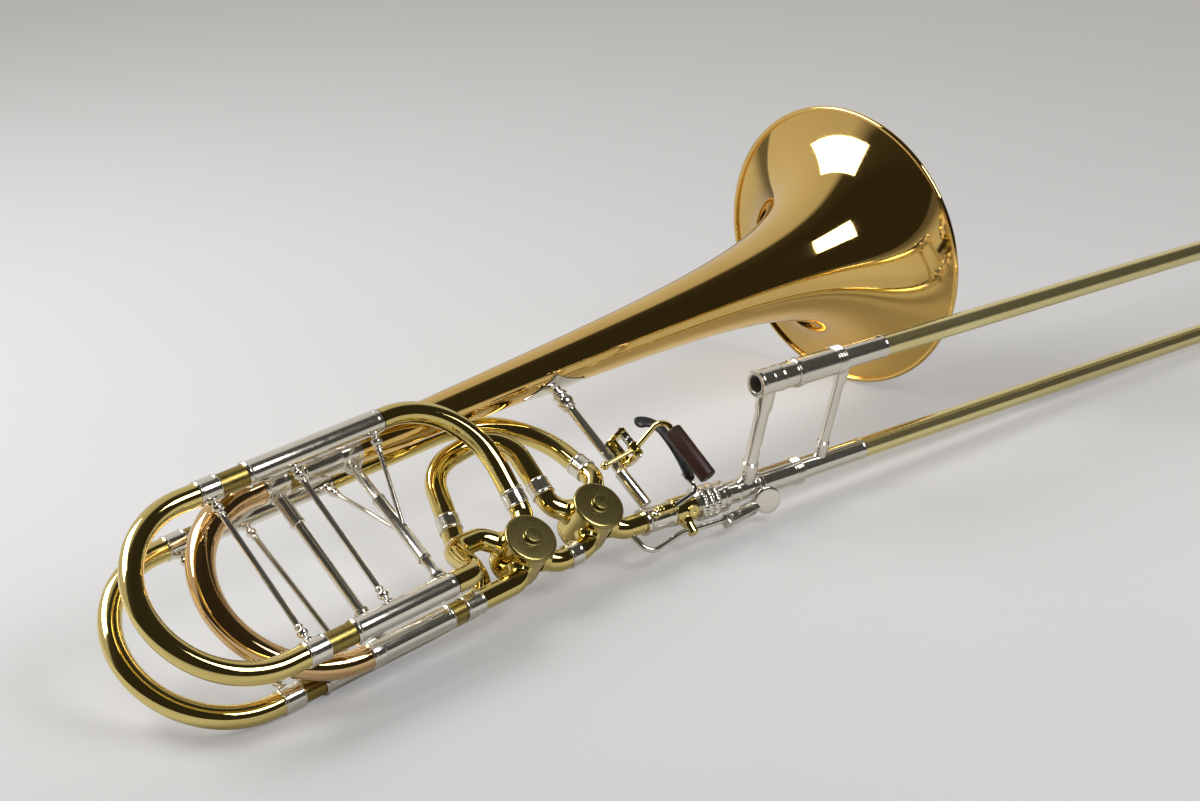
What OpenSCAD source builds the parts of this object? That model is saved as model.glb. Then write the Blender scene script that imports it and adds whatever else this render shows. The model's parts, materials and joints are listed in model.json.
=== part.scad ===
// Bass trombone with two independent in-line rotary valves, lying on its side as it rests on a table.
// Bell frame: +X along the bell to its mouth, +Y from the neck tube to the bell, +Z to the front.
// rest() turns the bell frame into the resting pose, where the table is the plane Z = 0.

/* [Bell] */
// Diameter over the rolled rim
bell_diameter = 241.3; // [230:0.1:255]
// Thickness of the bell metal
bell_wall = 0.7; // [0.6:0.05:1]

/* [Tubing] */
// Outer radius of the valve tubing and of the valve slide bows
tube_r = 7.8; // [7.7:0.05:8]
// Distance between the bell tail and the neck tube
leg_spacing = 138; // [134:1:142]
// Pull of the slide rows: how far the bow centres lie behind the bell rim
bow_station = 676; // [672:1:684]

/* [Valves] */
// Distance between the two rotor axes
valve_spacing = 65; // [63:1:68]
// Radius of the rotors
rotor_r = 16; // [15.6:0.1:16]

/* [Hand slide] */
// Distance between the upper and lower slide tubes
slide_spacing = 91.6; // [88:0.2:96]
// Distance from the neck knuckle to the start of the slide crook
slide_reach = 800; // [790:5:820]
// Angle in plan between the hand slide and the bell
slide_toe = 7.35; // [6.5:0.05:8]

/* [Resting pose] */
// Roll about the bell axis
rest_roll = 36.03; // [34:0.01:37]
// Rise of the bell axis towards its mouth
rest_pitch = 1.48; // [1:0.01:2]

/* [Hidden] */
$fn = 72;
wall = 0.65;
inner_r = tube_r - 0.25;
inner_wall = 0.5;
sleeve_r = inner_r + 0.72;
sleeve_wall = 0.67;
ferrule_r = tube_r + 0.75;
gap = 0.1;
lap = 1.2;
proud = 0.2;
main_r = 10.6;
main_sleeve_r = 11.35;
neck_y = -leg_spacing;
ta = [0, 27];
tb = [11 - leg_spacing, 23];
bu = [-1, -30];
bl = [5 - leg_spacing, -20];
xa = -bow_station;
xb = -bow_station - 1;
xc = -615;
bell_end = 530;
port_bend = 18;
case_r = rotor_r + 2;
case_half = 15;
valve_y = neck_y + port_bend;
v1 = [-400, valve_y, 0];
v2 = v1 - [valve_spacing, 0, 0];
knuckle = [v1[0] + port_bend, neck_y, 0];
slide_rise = 1.65;
slide_turn = 24.4;
upper = slide_spacing;
outer_r = 7.95;
outer_wall = 0.33;
inner_slide_r = 7.3;
inner_slide_wall = 0.3;
stocking_r = 7.56;
shank_r = 6.35;
crook_r = upper / 2;

function unit(v) = v / norm(v);
function at(x, yz) = [x, yz[0], yz[1]];
function turn(p, k) = acos(unit(p[k] - p[k - 1]) * unit(p[k + 1] - p[k]));
function cutback(p, k, br) = (k == 0 || k == len(p) - 1) ? 0 : br[k] * tan(turn(p, k) / 2);

module frame(x, y, z, c) {
    multmatrix([[x[0], y[0], z[0], c[0]], [x[1], y[1], z[1], c[1]], [x[2], y[2], z[2], c[2]],
        [0, 0, 0, 1]]) children();
}

// Places children with +Z along the line from a to b and the origin at a.
module along(a, b) {
    d = unit(b - a);
    s = abs(d[2]) < 0.9 ? [0, 0, 1] : [1, 0, 0];
    x = unit(cross(s, d));
    frame(x, cross(d, x), d, a) children();
}

module rod(a, b, r) {
    along(a, b) cylinder(r = r, h = norm(b - a));
}

module tube(a, b, r, w) {
    along(a, b) rotate_extrude() translate([r - w, 0]) square([w, norm(b - a)]);
}

// Collar centred on p round a tube that runs along d.
module collar(p, d, r_in, r_out, len) {
    e = unit(d) * len / 2;
    tube(p - e, p + e, r_out, r_out - r_in);
}

module ring_section(r, w) {
    difference() {
        circle(r);
        if (w < r) circle(r - w);
    }
}

module bend(p, k, br, r, w) {
    d0 = unit(p[k] - p[k - 1]);
    d1 = unit(p[k + 1] - p[k]);
    n = unit(d1 - (d1 * d0) * d0);
    c = p[k] - d0 * cutback(p, k, br) + n * br[k];
    frame(-n, d0, cross(-n, d0), c) rotate_extrude(angle = turn(p, k)) translate([br[k], 0]) ring_section(r, w);
}

// Tube along the corners p, bent at each to the radius in br; thin sleeves lap the joints.
module pipe(p, br, r, w) {
    last = len(p) - 2;
    for (k = [0:last]) {
        d = unit(p[k + 1] - p[k]);
        a = p[k] + d * (cutback(p, k, br) + (k == 0 ? 0 : gap));
        b = p[k + 1] - d * (cutback(p, k + 1, br) + (k == last ? 0 : gap));
        tube(a, b, r, w);
        if (k > 0) tube(a - d * (gap + lap), a + d * lap, r + proud, w / 2 + proud);
        if (k < last) tube(b - d * lap, b + d * (gap + lap), r + proud, w / 2 + proud);
    }
    for (k = [1:last]) bend(p, k, br, r, w);
}

// Solid round rod bent in the same way.
module bent_rod(p, br, r) {
    pipe(p, br, r, r);
}

// Half-circle bow from a to b, which lie at the same X, with short straights forward of it.
module u_bow(a, b, r, w, ahead) {
    c = (a + b) / 2;
    e = unit(a - b);
    f = [1, 0, 0];
    frame(e, -f, cross(e, -f), c) rotate_extrude(angle = 180) translate([norm(a - b) / 2, 0]) ring_section(r, w);
    for (p = [a, b]) {
        tube(p + f * gap, p + f * ahead, r, w);
        tube(p - f * lap, p + f * (gap + lap), r + proud, w / 2 + proud);
    }
}

module rest() {
    translate([rest_x, rest_y, rest_z]) rotate([0, -rest_pitch, 0]) rotate([rest_roll, 0, 0]) children();
}

module slide_frame() {
    translate(knuckle) rotate([-slide_turn, -slide_rise, -slide_toe]) children();
}

rest_x = 136.52;
rest_y = 57.585;
rest_z = bell_diameter / 2 + 0.05;

// ---- Bell ----
mouth_r = bell_diameter / 2 - 1.2;
stations = 32;
function flare(s) = mouth_r / pow(1 + s / 23.2, 0.696) - (s > 300 ? 2 * pow((s - 300) / 220, 2) : 0);
function station(k) = 0.5 + (bell_end - 0.5) * pow(k / stations, 1.8);
function slope(s) = 0.696 * mouth_r / 23.2 / pow(1 + s / 23.2, 1.696);
function thick(s) = bell_wall * sqrt(1 + slope(s) * slope(s));

// Shell of the bell between two stations, from `low` to `high` wall thicknesses outside its metal.
module bell_shell(k0, k1, low, high) {
    rotate([0, 90, 0]) rotate_extrude() polygon(concat(
        [for (k = [k0:k1]) [flare(station(k)) + high, -station(k)]],
        [for (k = [k1:-1:k0]) [flare(station(k)) - low * thick(station(k)), -station(k)]]));
}

module rim_bead() {
    translate([-1, 0, 0]) rotate([0, 90, 0]) rotate_extrude() translate([mouth_r - 0.8, 0]) circle(2);
}

module bell() {
    color("#c98a4b") rest() difference() {
        bell_shell(0, stations, 1, 0);
        rim_bead();
    }
}

module bell_rim_wire() {
    color("#d8a05a") rest() rim_bead();
}

module bell_tail_ferrule() {
    color("#d9d8d2") rest() {
        tube([-bell_end - 14, 0, 0], [-bell_end, 0, 0], main_sleeve_r + 0.9, 0.9);
        tube([-bell_end, 0, 0], [-bell_end + 3, 0, 0], main_sleeve_r + 0.9, 0.5);
    }
}

// ---- Main tuning slide row ----
module main_upper_sleeve() {
    color("#dddcd6") rest() {
        tube([-577, 0, 0], [-bell_end, 0, 0], main_sleeve_r, main_sleeve_r - main_r - 0.07);
        tube([-577, 0, 0], [-574, 0, 0], main_sleeve_r + 0.9, 1.2);
    }
}

module neck_ferrule() {
    color("#dddcd6") rest() {
        tube([-534, neck_y, 0], [-518, neck_y, 0], ferrule_r, ferrule_r - tube_r);
        tube([-534, neck_y, 0], [-531.5, neck_y, 0], ferrule_r + 0.4, ferrule_r + 0.4 - tube_r);
    }
}

module neck_inner_leg() {
    color("#a68a3c") rest() tube([-600, neck_y, 0], [-526, neck_y, 0], inner_r, inner_wall);
}

module main_tuning_bow() {
    steps = 12;
    color("#c8864e") rest() {
        frame([0, 1, 0], [-1, 0, 0], [0, 0, 1], [xc, neck_y / 2, 0])
            for (k = [0:steps - 1])
                rotate_extrude(angle = 180 / steps, start = k * 180 / steps) translate([leg_spacing / 2, 0])
                    ring_section(main_r - k * (main_r - 8.15) / (steps - 1), 0.8);
        tube([xc - lap, 0, 0], [xc + lap, 0, 0], main_r + proud, 0.4 + proud);
        tube([xc + gap, 0, 0], [xc + 10, 0, 0], main_r, 0.8);
        tube([xc - lap, neck_y, 0], [xc + lap, neck_y, 0], 8.15 + proud, 0.4 + proud);
        tube([xc + gap, neck_y, 0], [xc + 8, neck_y, 0], 8.15, 0.8);
    }
}

module main_upper_inner_leg() {
    color("#a68a3c") rest() tube([xc + 10, 0, 0], [-537, 0, 0], main_r, 0.6);
}

module thin_brace(p, q, rp, rq) {
    d = unit(q - p);
    rod(p + d * rp, q - d * rq, 1.9);
    for (s = [[p, rp, 1], [q, rq, -1]]) {
        rod(s[0] + d * s[1] * s[2], s[0] + d * (s[1] + 4) * s[2], 3.4);
        rod(s[0] + d * (s[1] + 4) * s[2], s[0] + d * (s[1] + 8) * s[2], 2.6);
        rod(s[0] + d * (s[1] + 8) * s[2], s[0] + d * (s[1] + 9.5) * s[2], 3.1);
    }
}

module main_slide_fittings() {
    x = -598;
    color("#dddcd6") rest() {
        difference() {
            union() {
                tube([-607, 0, 0], [-588, 0, 0], main_sleeve_r + 0.2, main_sleeve_r + 0.2 - main_r);
                tube([-607, 0, 0], [-604.5, 0, 0], main_sleeve_r + 0.9, main_sleeve_r + 0.9 - main_r);
                rod([x, -9, 0], [x, neck_y + 6, 0], 3.6);
                rod([x, -9, 0], [x, -34, 0], 5);
                rod([x, neck_y + 6, 0], [x, neck_y + 27, 0], 5);
            }
            rod([-620, 0, 0], [-580, 0, 0], main_r);
            rod([-620, neck_y, 0], [-580, neck_y, 0], sleeve_r);
        }
        tube([-607, neck_y, 0], [-545, neck_y, 0], sleeve_r, sleeve_wall);
        tube([-614, neck_y, 0], [-604, neck_y, 0], 9, 0.85);
        tube([-548, neck_y, 0], [-545, neck_y, 0], sleeve_r + 0.9, 1.2);
    }
}

// ---- Valve slides ----
module valve_bow(a, b, x) {
    u_bow(at(x, a), at(x, b), tube_r, wall, 20);
}

module inner_legs(a, b, x) {
    for (p = [a, b]) tube(at(x + 20, p), at(x + 112, p), inner_r, inner_wall);
}

module slide_fittings(a, b, x) {
    difference() {
        union() {
            for (p = [a, b]) {
                tube(at(x + 12, p), at(x + 28, p), ferrule_r, ferrule_r - tube_r);
                tube(at(x + 12, p), at(x + 14, p), ferrule_r + 0.4, ferrule_r + 0.4 - tube_r);
            }
            thin_brace(at(x + 20, a), at(x + 20, b), ferrule_r - 0.4, ferrule_r - 0.4);
        }
        for (p = [a, b]) rod(at(x, p), at(x + 40, p), tube_r);
    }
}

module outer_leg(yz, x0, x1) {
    tube(at(x0, yz), at(x1, yz), sleeve_r, sleeve_wall);
    tube(at(x0, yz), at(x0 + 3, yz), sleeve_r + 1, 1.3);
}

module leg_pair(a, b, x0, xa1, xb1, xbrace) {
    difference() {
        union() {
            outer_leg(a, x0, xa1);
            outer_leg(b, x0, xb1);
            thin_brace(at(xbrace, a), at(xbrace, b), sleeve_r - 0.4, sleeve_r - 0.4);
        }
        for (p = [a, b]) rod(at(x0 - 1, p), at(x0 + 120, p), sleeve_r - sleeve_wall);
    }
}

module valve1_bow() {
    color("#d9b24a") rest() valve_bow(bu, bl, xb);
}

module valve1_inner_legs() {
    color("#a68a3c") rest() inner_legs(bu, bl, xb);
}

module valve1_slide_fittings() {
    color("#dddcd6") rest() slide_fittings(bu, bl, xb - 8);
}

module valve2_bow() {
    color("#d9b24a") rest() valve_bow(ta, tb, xa);
}

module valve2_inner_legs() {
    color("#a68a3c") rest() inner_legs(ta, tb, xa);
}

module valve2_slide_fittings() {
    color("#dddcd6") rest() slide_fittings(ta, tb, xa);
}

module valve1_outer_legs() {
    color("#dddcd6") rest() leg_pair(bu, bl, -641, -540, -546, -613);
}

module valve2_outer_legs() {
    color("#dddcd6") rest() leg_pair(ta, tb, -627, -516, -544, -592);
}

// ---- Rotary valves ----
module each_port(v) {
    for (a = [45:90:315]) translate(v) rotate([0, 0, a]) rotate([0, 90, 0]) children();
}

module casing(v) {
    difference() {
        translate(v) cylinder(r = case_r, h = 2 * case_half, center = true);
        translate(v) cylinder(r = rotor_r + 0.05, h = 2 * case_half + 1, center = true);
        each_port(v) cylinder(r = tube_r - wall, h = case_r + 2);
    }
}

module rotor(v) {
    difference() {
        union() {
            translate(v) cylinder(r = rotor_r, h = 2 * case_half - 3, center = true);
            translate(v) cylinder(r = 4, h = 2 * case_half + 4, center = true);
            translate(v - [0, 0, case_half + 10]) cylinder(r = 3, h = 12);
        }
        for (a = [90, 270])
            translate(v) rotate([0, 0, a]) translate([rotor_r * sqrt(2), 0, 0])
                rotate([0, 0, 130]) rotate_extrude(angle = 100) translate([rotor_r, 0]) circle(6.1);
    }
}

module cap(v) {
    translate(v + [0, 0, case_half]) {
        difference() {
            union() {
                cylinder(r = case_r + 0.8, h = 2.6);
                translate([0, 0, 2.6]) cylinder(r = case_r - 0.6, h = 0.5);
                translate([0, 0, 2.6]) cylinder(r = 6, h = 4.4);
            }
            translate([0, 0, -1]) cylinder(r = 4.06, h = 4);
        }
    }
}

module bearing_plate(v) {
    difference() {
        translate(v - [0, 0, case_half + 3]) cylinder(r = case_r, h = 3);
        translate(v - [0, 0, case_half + 4]) cylinder(r = 3.06, h = 6);
        translate(v - [0, 0, case_half + 2.1]) cylinder(r = 4.06, h = 6);
    }
}

module stop_arm(v, a) {
    z = -case_half - 10;
    difference() {
        union() {
            translate(v + [0, 0, z]) cylinder(r = 6, h = 5);
            translate(v + [0, 0, z]) rotate([0, 0, a]) translate([0, -2.5, 0]) cube([15, 5, 3]);
            translate(v + [0, 0, z]) rotate([0, 0, a]) translate([15, 0, -3]) cylinder(r = 2.6, h = 6);
        }
        translate(v + [0, 0, z - 4]) cylinder(r = 3, h = 12);
    }
}

module valve1_casing() {
    color("#cfa945") rest() casing(v1);
}

module valve2_casing() {
    color("#cfa945") rest() casing(v2);
}

module valve1_cap() {
    color("#b8963a") rest() cap(v1);
}

module valve2_cap() {
    color("#b8963a") rest() cap(v2);
}

module valve1_bearing_plate() {
    color("#b8963a") rest() bearing_plate(v1);
}

module valve2_bearing_plate() {
    color("#b8963a") rest() bearing_plate(v2);
}

module valve1_rotor() {
    color("#c9b27a") rest() rotor(v1);
}

module valve2_rotor() {
    color("#c9b27a") rest() rotor(v2);
}

module valve1_stop_arm() {
    color("#d9d8d2") rest() stop_arm(v1, 80);
}

module valve2_stop_arm() {
    color("#d9d8d2") rest() stop_arm(v2, 80);
}

// Centre lines of the valve tubing; each begins inside its casing and is trimmed to it.
diag = sqrt(0.5);
function port(v, sx, sy) = v + [sx * diag * (case_r - 2), sy * diag * (case_r - 2), 0];
slide_dir = [cos(slide_toe) * cos(slide_rise), -sin(slide_toe) * cos(slide_rise), sin(slide_rise)];
link_path = [port(v1, -1, -1), [v1[0] - port_bend, neck_y, 0], [v2[0] + port_bend, neck_y, 0],
    port(v2, 1, -1)];
neck_path = [port(v2, -1, -1), [v2[0] - port_bend, neck_y, 0], [-526, neck_y, 0]];
knuckle_path = [port(v1, 1, -1), knuckle, knuckle + 22 * slide_dir];
v1_up = v1 + [26, 34, 0];
long_path = [port(v1, 1, 1), v1_up - [0, 8, 0], [v1_up[0], bu[0], bu[1]], at(-540, bu)];
v2_up = v2 + [20, 34, 0];
large_path = [port(v2, 1, 1), v2_up - [0, 8, 0], [v2_up[0], ta[0], ta[1]], at(-516, ta)];
small_path = [port(v2, -1, 1), v2 + [-22, 22, 0], [-514, valve_y + 22, 2], at(-522, tb), at(-544, tb)];
loop_path = [port(v1, -1, 1), v1 + [-21, 21, 0], [-411, -27, -3], [-470, -27, -22], [-492, -92, -22],
    at(-492, bl), at(-546, bl)];

module trimmed(v) {
    difference() {
        children();
        for (c = v) translate(c) cylinder(r = case_r, h = 50, center = true);
    }
}

module valve_link_tube() {
    color("#d9b24a") rest() trimmed([v1, v2]) pipe(link_path, [0, 15, 15, 0], tube_r, wall);
}

module neckpipe() {
    color("#d9b24a") rest() trimmed([v2]) pipe(neck_path, [0, 15, 0], tube_r, wall);
}

module receiver_knuckle() {
    color("#d9b24a") rest() trimmed([v1]) pipe(knuckle_path, [0, 12, 0], tube_r, wall);
}

module valve1_long_tube() {
    color("#d9b24a") rest() trimmed([v1]) pipe(long_path, [0, 14, 68, 0], tube_r, wall);
}

module valve2_large_bend() {
    color("#d9b24a") rest() trimmed([v2]) pipe(large_path, [0, 12, 64, 0], tube_r, wall);
}

module valve2_small_bend() {
    color("#d9b24a") rest() trimmed([v2]) pipe(small_path, [0, 14, 13, 13, 0], tube_r, wall);
}

module valve1_loop_tube() {
    color("#d9b24a") rest() trimmed([v1]) pipe(loop_path, [0, 12, 27, 27, 20, 24, 0], tube_r, wall);
}

// Ferrule round the straight between corners k and k + 1 of a pipe, its middle s beyond corner k.
module ferrule(p, k, s, len) {
    d = unit(p[k + 1] - p[k]);
    c = p[k] + s * d;
    collar(c, d, tube_r + 0.05, ferrule_r + 0.1, len);
    for (e = [-1, 1]) collar(c + d * e * (len / 2 - 1), d, ferrule_r, ferrule_r + 0.5, 1.6);
}

module valve_ferrules() {
    color("#dddcd6") rest() {
        ferrule(long_path, 1, 13.8, 12.4);
        ferrule(large_path, 1, 11.5, 12.5);
        ferrule(link_path, 1, 14.5, 11);
        ferrule(loop_path, 1, 15, 12.5);
        ferrule(loop_path, 3, 47, 12);
    }
}

// ---- Receiver, levers and finger rest ----
module slide_receiver() {
    color("#d9d8d2") rest() slide_frame() {
        tube([17, 0, 0], [70, 0, 0], 9.2, 1.3);
        tube([17, 0, 0], [20, 0, 0], 10, 2);
        tube([40, 0, 0], [43, 0, 0], 9.8, 1.5);
    }
}

module lock_nut() {
    color("#d9d8d2") rest() slide_frame() difference() {
        union() {
            tube([66, 0, 0], [92, 0, 0], 11, 1.7);
            for (x = [67, 73, 79]) tube([x, 0, 0], [x + 3.2, 0, 0], 12.8, 3.4);
            tube([88, 0, 0], [92, 0, 0], 12, 2.6);
        }
        for (a = [0:24:359]) rotate([a, 0, 0]) translate([60, 0, 13.1]) rotate([0, 90, 0]) cylinder(r = 0.8, h = 40);
    }
}

module bell_brace() {
    x = -351;
    color("#dddcd6") rest() difference() {
        union() {
            intersection() {
                bell_shell(20, 30, -0.01, 1.2);
                translate([x, 0, 0]) rotate([90, 0, 0]) linear_extrude(40)
                    polygon([[-30, 0], [0, 14], [30, 0], [0, -14]]);
            }
            rod([x, -10, 0], [x, neck_y, 0], 3.6);
            rod([x, -17, 0], [x, -26, 0], 5);
            rod([x, -28, 0], [x, -31, 0], 6.2);
            rod([x, -34, 0], [x, -37, 0], 5.4);
            rod([x, -98, 0], [x, neck_y, 0], 4.8);
        }
        rotate([0, 90, 0]) rotate_extrude() polygon(concat([for (k = [16:32]) [flare(station(k)), -station(k)]],
            [[0, -station(32)], [0, -station(16)]]));
        slide_frame() rod([0, 0, 0], [90, 0, 0], 9.2);
    }
}

module rear_brace() {
    p = [-536, 0, 0];
    q = at(-549, tb);
    m = p + 0.62 * (q - p);
    color("#dddcd6") rest() difference() {
        union() {
            rod(p, q, 3.4);
            rod(p + 0.35 * (q - p), p + 0.8 * (q - p), 4.4);
            rod(at(-522, ta), m, 1.7);
            rod(at(-546, bu), m, 1.7);
            rod(at(-522, ta), at(-522, ta) + unit(m - at(-522, ta)) * 14, 3);
            rod(at(-546, bu), at(-546, bu) + unit(m - at(-546, bu)) * 14, 3);
        }
        rod([-600, 0, 0], [-bell_end, 0, 0], main_sleeve_r);
        rod([-bell_end - 14, 0, 0], [-bell_end + 3, 0, 0], main_sleeve_r + 0.9);
        rod(at(-600, tb), at(-544, tb), sleeve_r);
        rod(at(-600, ta), at(-516, ta), sleeve_r);
        rod(at(-600, bu), at(-540, bu), sleeve_r);
        rod(at(-540, bu), at(-520, bu), tube_r + 0.05);
    }
}

hinge1 = [-340, -93, 16];
lever1_points = [hinge1, [-321, -88.5, 39.5], [-321.5, -145, 38]];

module lever1_bracket() {
    x = hinge1[0];
    color("#c9a13c") rest() difference() {
        union() {
            translate([x - 9, -99, 3]) cube([9, 24, 3]);
            for (y = [-99, -78]) {
                translate([x - 9, y, 3]) cube([9, 3, 6]);
                translate([x - 6.8, y, 6]) cube([10.2, 3, 10]);
                translate([x, y, hinge1[2]]) rotate([-90, 0, 0]) cylinder(r = 3.4, h = 3);
            }
        }
        translate([x, -120, hinge1[2]]) rotate([-90, 0, 0]) cylinder(r = 1.56, h = 60);
        rod([-351, -60, 0], [-351, -98, 0], 3.6);
        rod([-351, -98, 0], [-351, -130, 0], 4.8);
    }
}

module lever1_wire() {
    x = hinge1[0];
    back = [x - 28, hinge1[1], 11];
    color("#cfa945") rest() {
        translate([x, -100.5, hinge1[2]]) rotate([-90, 0, 0]) cylinder(r = 1.5, h = 27);
        translate([x, -95.6, hinge1[2]]) rotate([-90, 0, 0]) cylinder(r = 3.2, h = 17.2);
        bent_rod(lever1_points, [0, 8, 0], 2.1);
        rod(hinge1, back, 1.7);
        rod(back - 3 * unit(back - hinge1), back + 3 * unit(back - hinge1), 3.2);
    }
}

module lever1_roller() {
    a = lever1_points[1];
    b = lever1_points[2];
    d = unit(b - a);
    color("#3a1d16") rest() difference() {
        rod(a + d * 12, b - d * 0.5, 6.6);
        rod(a, b, 2.16);
    }
}

hinge2 = [0, -7, 11.5];

module lever2_hinge_barrel() {
    color("#c9a13c") rest() slide_frame() difference() {
        for (x = [24, 36.4]) {
            rod(hinge2 + [x, 0, 0], hinge2 + [x + 3, 0, 0], 3.9);
            rod([x + 1.5, -4.4, 7.2], hinge2 + [x + 1.5, 0, 0], 1.3);
        }
        rod([0, 0, 0], [90, 0, 0], 9.2);
        rod(hinge2, hinge2 + [70, 0, 0], 1.56);
    }
}

module lever2_wire() {
    color("#c8c8c6") rest() {
        slide_frame() {
            rod(hinge2 + [22.5, 0, 0], hinge2 + [42, 0, 0], 1.5);
            rod(hinge2 + [27.3, 0, 0], hinge2 + [36.1, 0, 0], 3.8);
        }
        bent_rod([[-342.3, -144.75, 14.5], [-317, -142, 16.4], [-319.5, -126, 17.2]], [0, 6, 0], 1.9);
    }
}

module lever2_paddle() {
    z = 19.2;
    color("#17181a") rest() {
        translate([-327, -92, z]) rotate_extrude(angle = 80) translate([10, 0]) square([9, 3.5]);
        translate([-327, -92, z]) rotate([0, 0, 78]) translate([14.5, 0, 0]) cylinder(r = 5, h = 3.5);
        translate([-423.7, -92, z]) rotate([0, 0, -22.4]) rotate_extrude(angle = 22.4)
            translate([106.9, 0]) square([8.6, 3.5]);
    }
}

rest_points = [[-378, neck_y - 7, -1], [-376.5, -163.5, 0], [-342, -160.3, 0], [-290, -168, 0]];

// Brass saddle round the receiver, whose lug carries the finger-rest rod.
module rest_saddle() {
    color("#c9a13c") rest() difference() {
        slide_frame() {
            tube([44, 0, 0], [63, 0, 0], 10.2, 1);
            difference() {
                union() {
                    rod([53, 0, 0], [53, -18.9, -10.3], 4);
                    rod([57, -7.6, 2.9], [57, -10.4, 3.9], 4.6);
                }
                rod([40, 0, 0], [70, 0, 0], 9.2);
            }
        }
        rod(rest_points[2], rest_points[3], 2.15);
    }
}

module finger_rest_rod() {
    color("#d9d8d2") rest() difference() {
        bent_rod(rest_points, [0, 9, 30, 0], 2.1);
        rod(knuckle, knuckle + 40 * slide_dir, tube_r + proud + 0.05);
    }
}

module finger_rest_block() {
    color("#d9d8d2") rest() difference() {
        union() {
            translate([-302, -172.5, -4.5]) cube([34, 9, 9]);
            for (x = [-297, -289]) translate([x, -168, 4]) cylinder(r = 1.8, h = 3);
        }
        rod(rest_points[2], rest_points[3], 2.1);
    }
}

module finger_rest_disc() {
    n = unit([-0.38, -0.65, 0.65]);
    c = [-260, -170, 6];
    color("#cfcab4") rest() difference() {
        union() {
            rod(c - n * 1.1, c + n * 1.1, 10.5);
            rod([-268, -168, 0], c, 2);
        }
        translate([-302, -172.5, -4.5]) cube([34, 9, 9]);
    }
}

// ---- Hand slide: fixed inner part ----
module slide_inner_tubes() {
    color("#cfcfca") rest() slide_frame() {
        tube([95, 0, 0], [slide_reach - 70, 0, 0], inner_slide_r, inner_slide_wall);
        tube([slide_reach - 72, 0, 0], [slide_reach - 5, 0, 0], stocking_r, stocking_r - 7.05);
        tube([143, 0, upper], [slide_reach - 70, 0, upper], inner_slide_r, inner_slide_wall);
        tube([slide_reach - 72, 0, upper], [slide_reach - 5, 0, upper], stocking_r, stocking_r - 7.05);
    }
}

// Cork barrel, open to the front, with a closed collar at its back end.
module barrel(x0, x1, z) {
    tube([x0, 0, z], [x0 + 5, 0, z], 11, 11 - inner_slide_r);
    tube([x0 + 4, 0, z], [x1, 0, z], 10.4, 1.1);
    for (x = [x1 - 8, x1 - 5, x1 - 2]) tube([x, 0, z], [x + 2, 0, z], 11.4, 1.4);
}

module slide_inner_fittings() {
    color("#dddcd6") rest() slide_frame() {
        tube([74, 0, 0], [96, 0, 0], 9.1, 9.1 - inner_slide_r);
        tube([94, 0, 0], [123, 0, 0], 8.6, 8.6 - inner_slide_r);
        barrel(122, 168, 0);
        tube([106.5, 0, upper], [113, 0, upper], 10.6, 10.6 - shank_r);
        tube([111, 0, upper], [143, 0, upper], 9.6, 9.6 - shank_r);
        barrel(142, 190, upper);
    }
}

module slide_inner_brace() {
    color("#dddcd6") rest() slide_frame() difference() {
        union() {
            rod([115, 0, 0], [120, 0, upper], 5.2);
            rod([115, 0, 0], [116, 0, 22], 6.4);
            rod([120, 0, upper], [118.8, 0, upper - 24], 6.4);
        }
        rod([90, 0, 0], [123, 0, 0], 8.6);
        rod([122, 0, 0], [140, 0, 0], 11);
        rod([100, 0, upper], [143, 0, upper], 9.6);
    }
}

// ---- Hand slide: moving outer part ----
module slide_outer_tubes() {
    color("#d8c06a") rest() slide_frame() {
        tube([150, 0, 0], [slide_reach, 0, 0], outer_r, outer_wall);
        tube([172, 0, upper], [slide_reach, 0, upper], outer_r, outer_wall);
    }
}

module slide_outer_sleeves() {
    color("#dddcd6") rest() slide_frame() {
        tube([152, 0, 0], [234, 0, 0], outer_r + 0.55, 0.55);
        tube([174, 0, upper], [234, 0, upper], outer_r + 0.55, 0.55);
        for (z = [0, upper]) {
            tube([232, 0, z], [234, 0, z], outer_r + 0.9, 0.9);
            tube([slide_reach - 16, 0, z], [slide_reach, 0, z], outer_r + 0.6, 0.6);
        }
    }
}

module slide_outer_brace() {
    color("#dddcd6") rest() slide_frame() difference() {
        union() {
            rod([189, 0, 0], [196, 0, upper], 3.9);
            rod([189, 0, 0], [190.4, 0, 20], 5);
            rod([196, 0, upper], [194.6, 0, upper - 20], 5);
        }
        for (z = [0, upper]) rod([150, 0, z], [234, 0, z], outer_r + 0.55);
    }
}

module slide_crook() {
    color("#d8b450") rest() slide_frame() {
        frame([0, 0, -1], [1, 0, 0], [0, 1, 0], [slide_reach, 0, upper / 2])
            rotate_extrude(angle = 180) translate([crook_r, 0]) ring_section(outer_r, 0.6);
        for (z = [0, upper]) tube([slide_reach - 0.01, 0, z], [slide_reach + lap, 0, z], outer_r + 0.6, 0.7);
    }
}

module crook_bumper() {
    x = slide_reach + crook_r;
    color("#2b2624") rest() slide_frame() difference() {
        rod([x - 4, 0, upper / 2], [x + outer_r + 8, 0, upper / 2], 5.5);
        frame([0, 0, -1], [1, 0, 0], [0, 1, 0], [slide_reach, 0, upper / 2])
            rotate_extrude(angle = 180) translate([crook_r, 0]) circle(outer_r);
    }
}

key_x = slide_reach - 24;

module water_key_mount() {
    color("#dddcd6") rest() slide_frame() difference() {
        union() {
            rod([key_x, 0, 0], [key_x, 0, 13.5], 3.4);
            for (y = [-5, 3]) translate([key_x - 22, y, 5]) cube([5, 2, 9]);
        }
        rod([key_x - 60, 0, 0], [key_x + 20, 0, 0], outer_r);
        rod([key_x, 0, 0], [key_x, 0, 20], 1.6);
        rod([key_x - 19.5, -10, 11.5], [key_x - 19.5, 10, 11.5], 1.06);
    }
}

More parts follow.
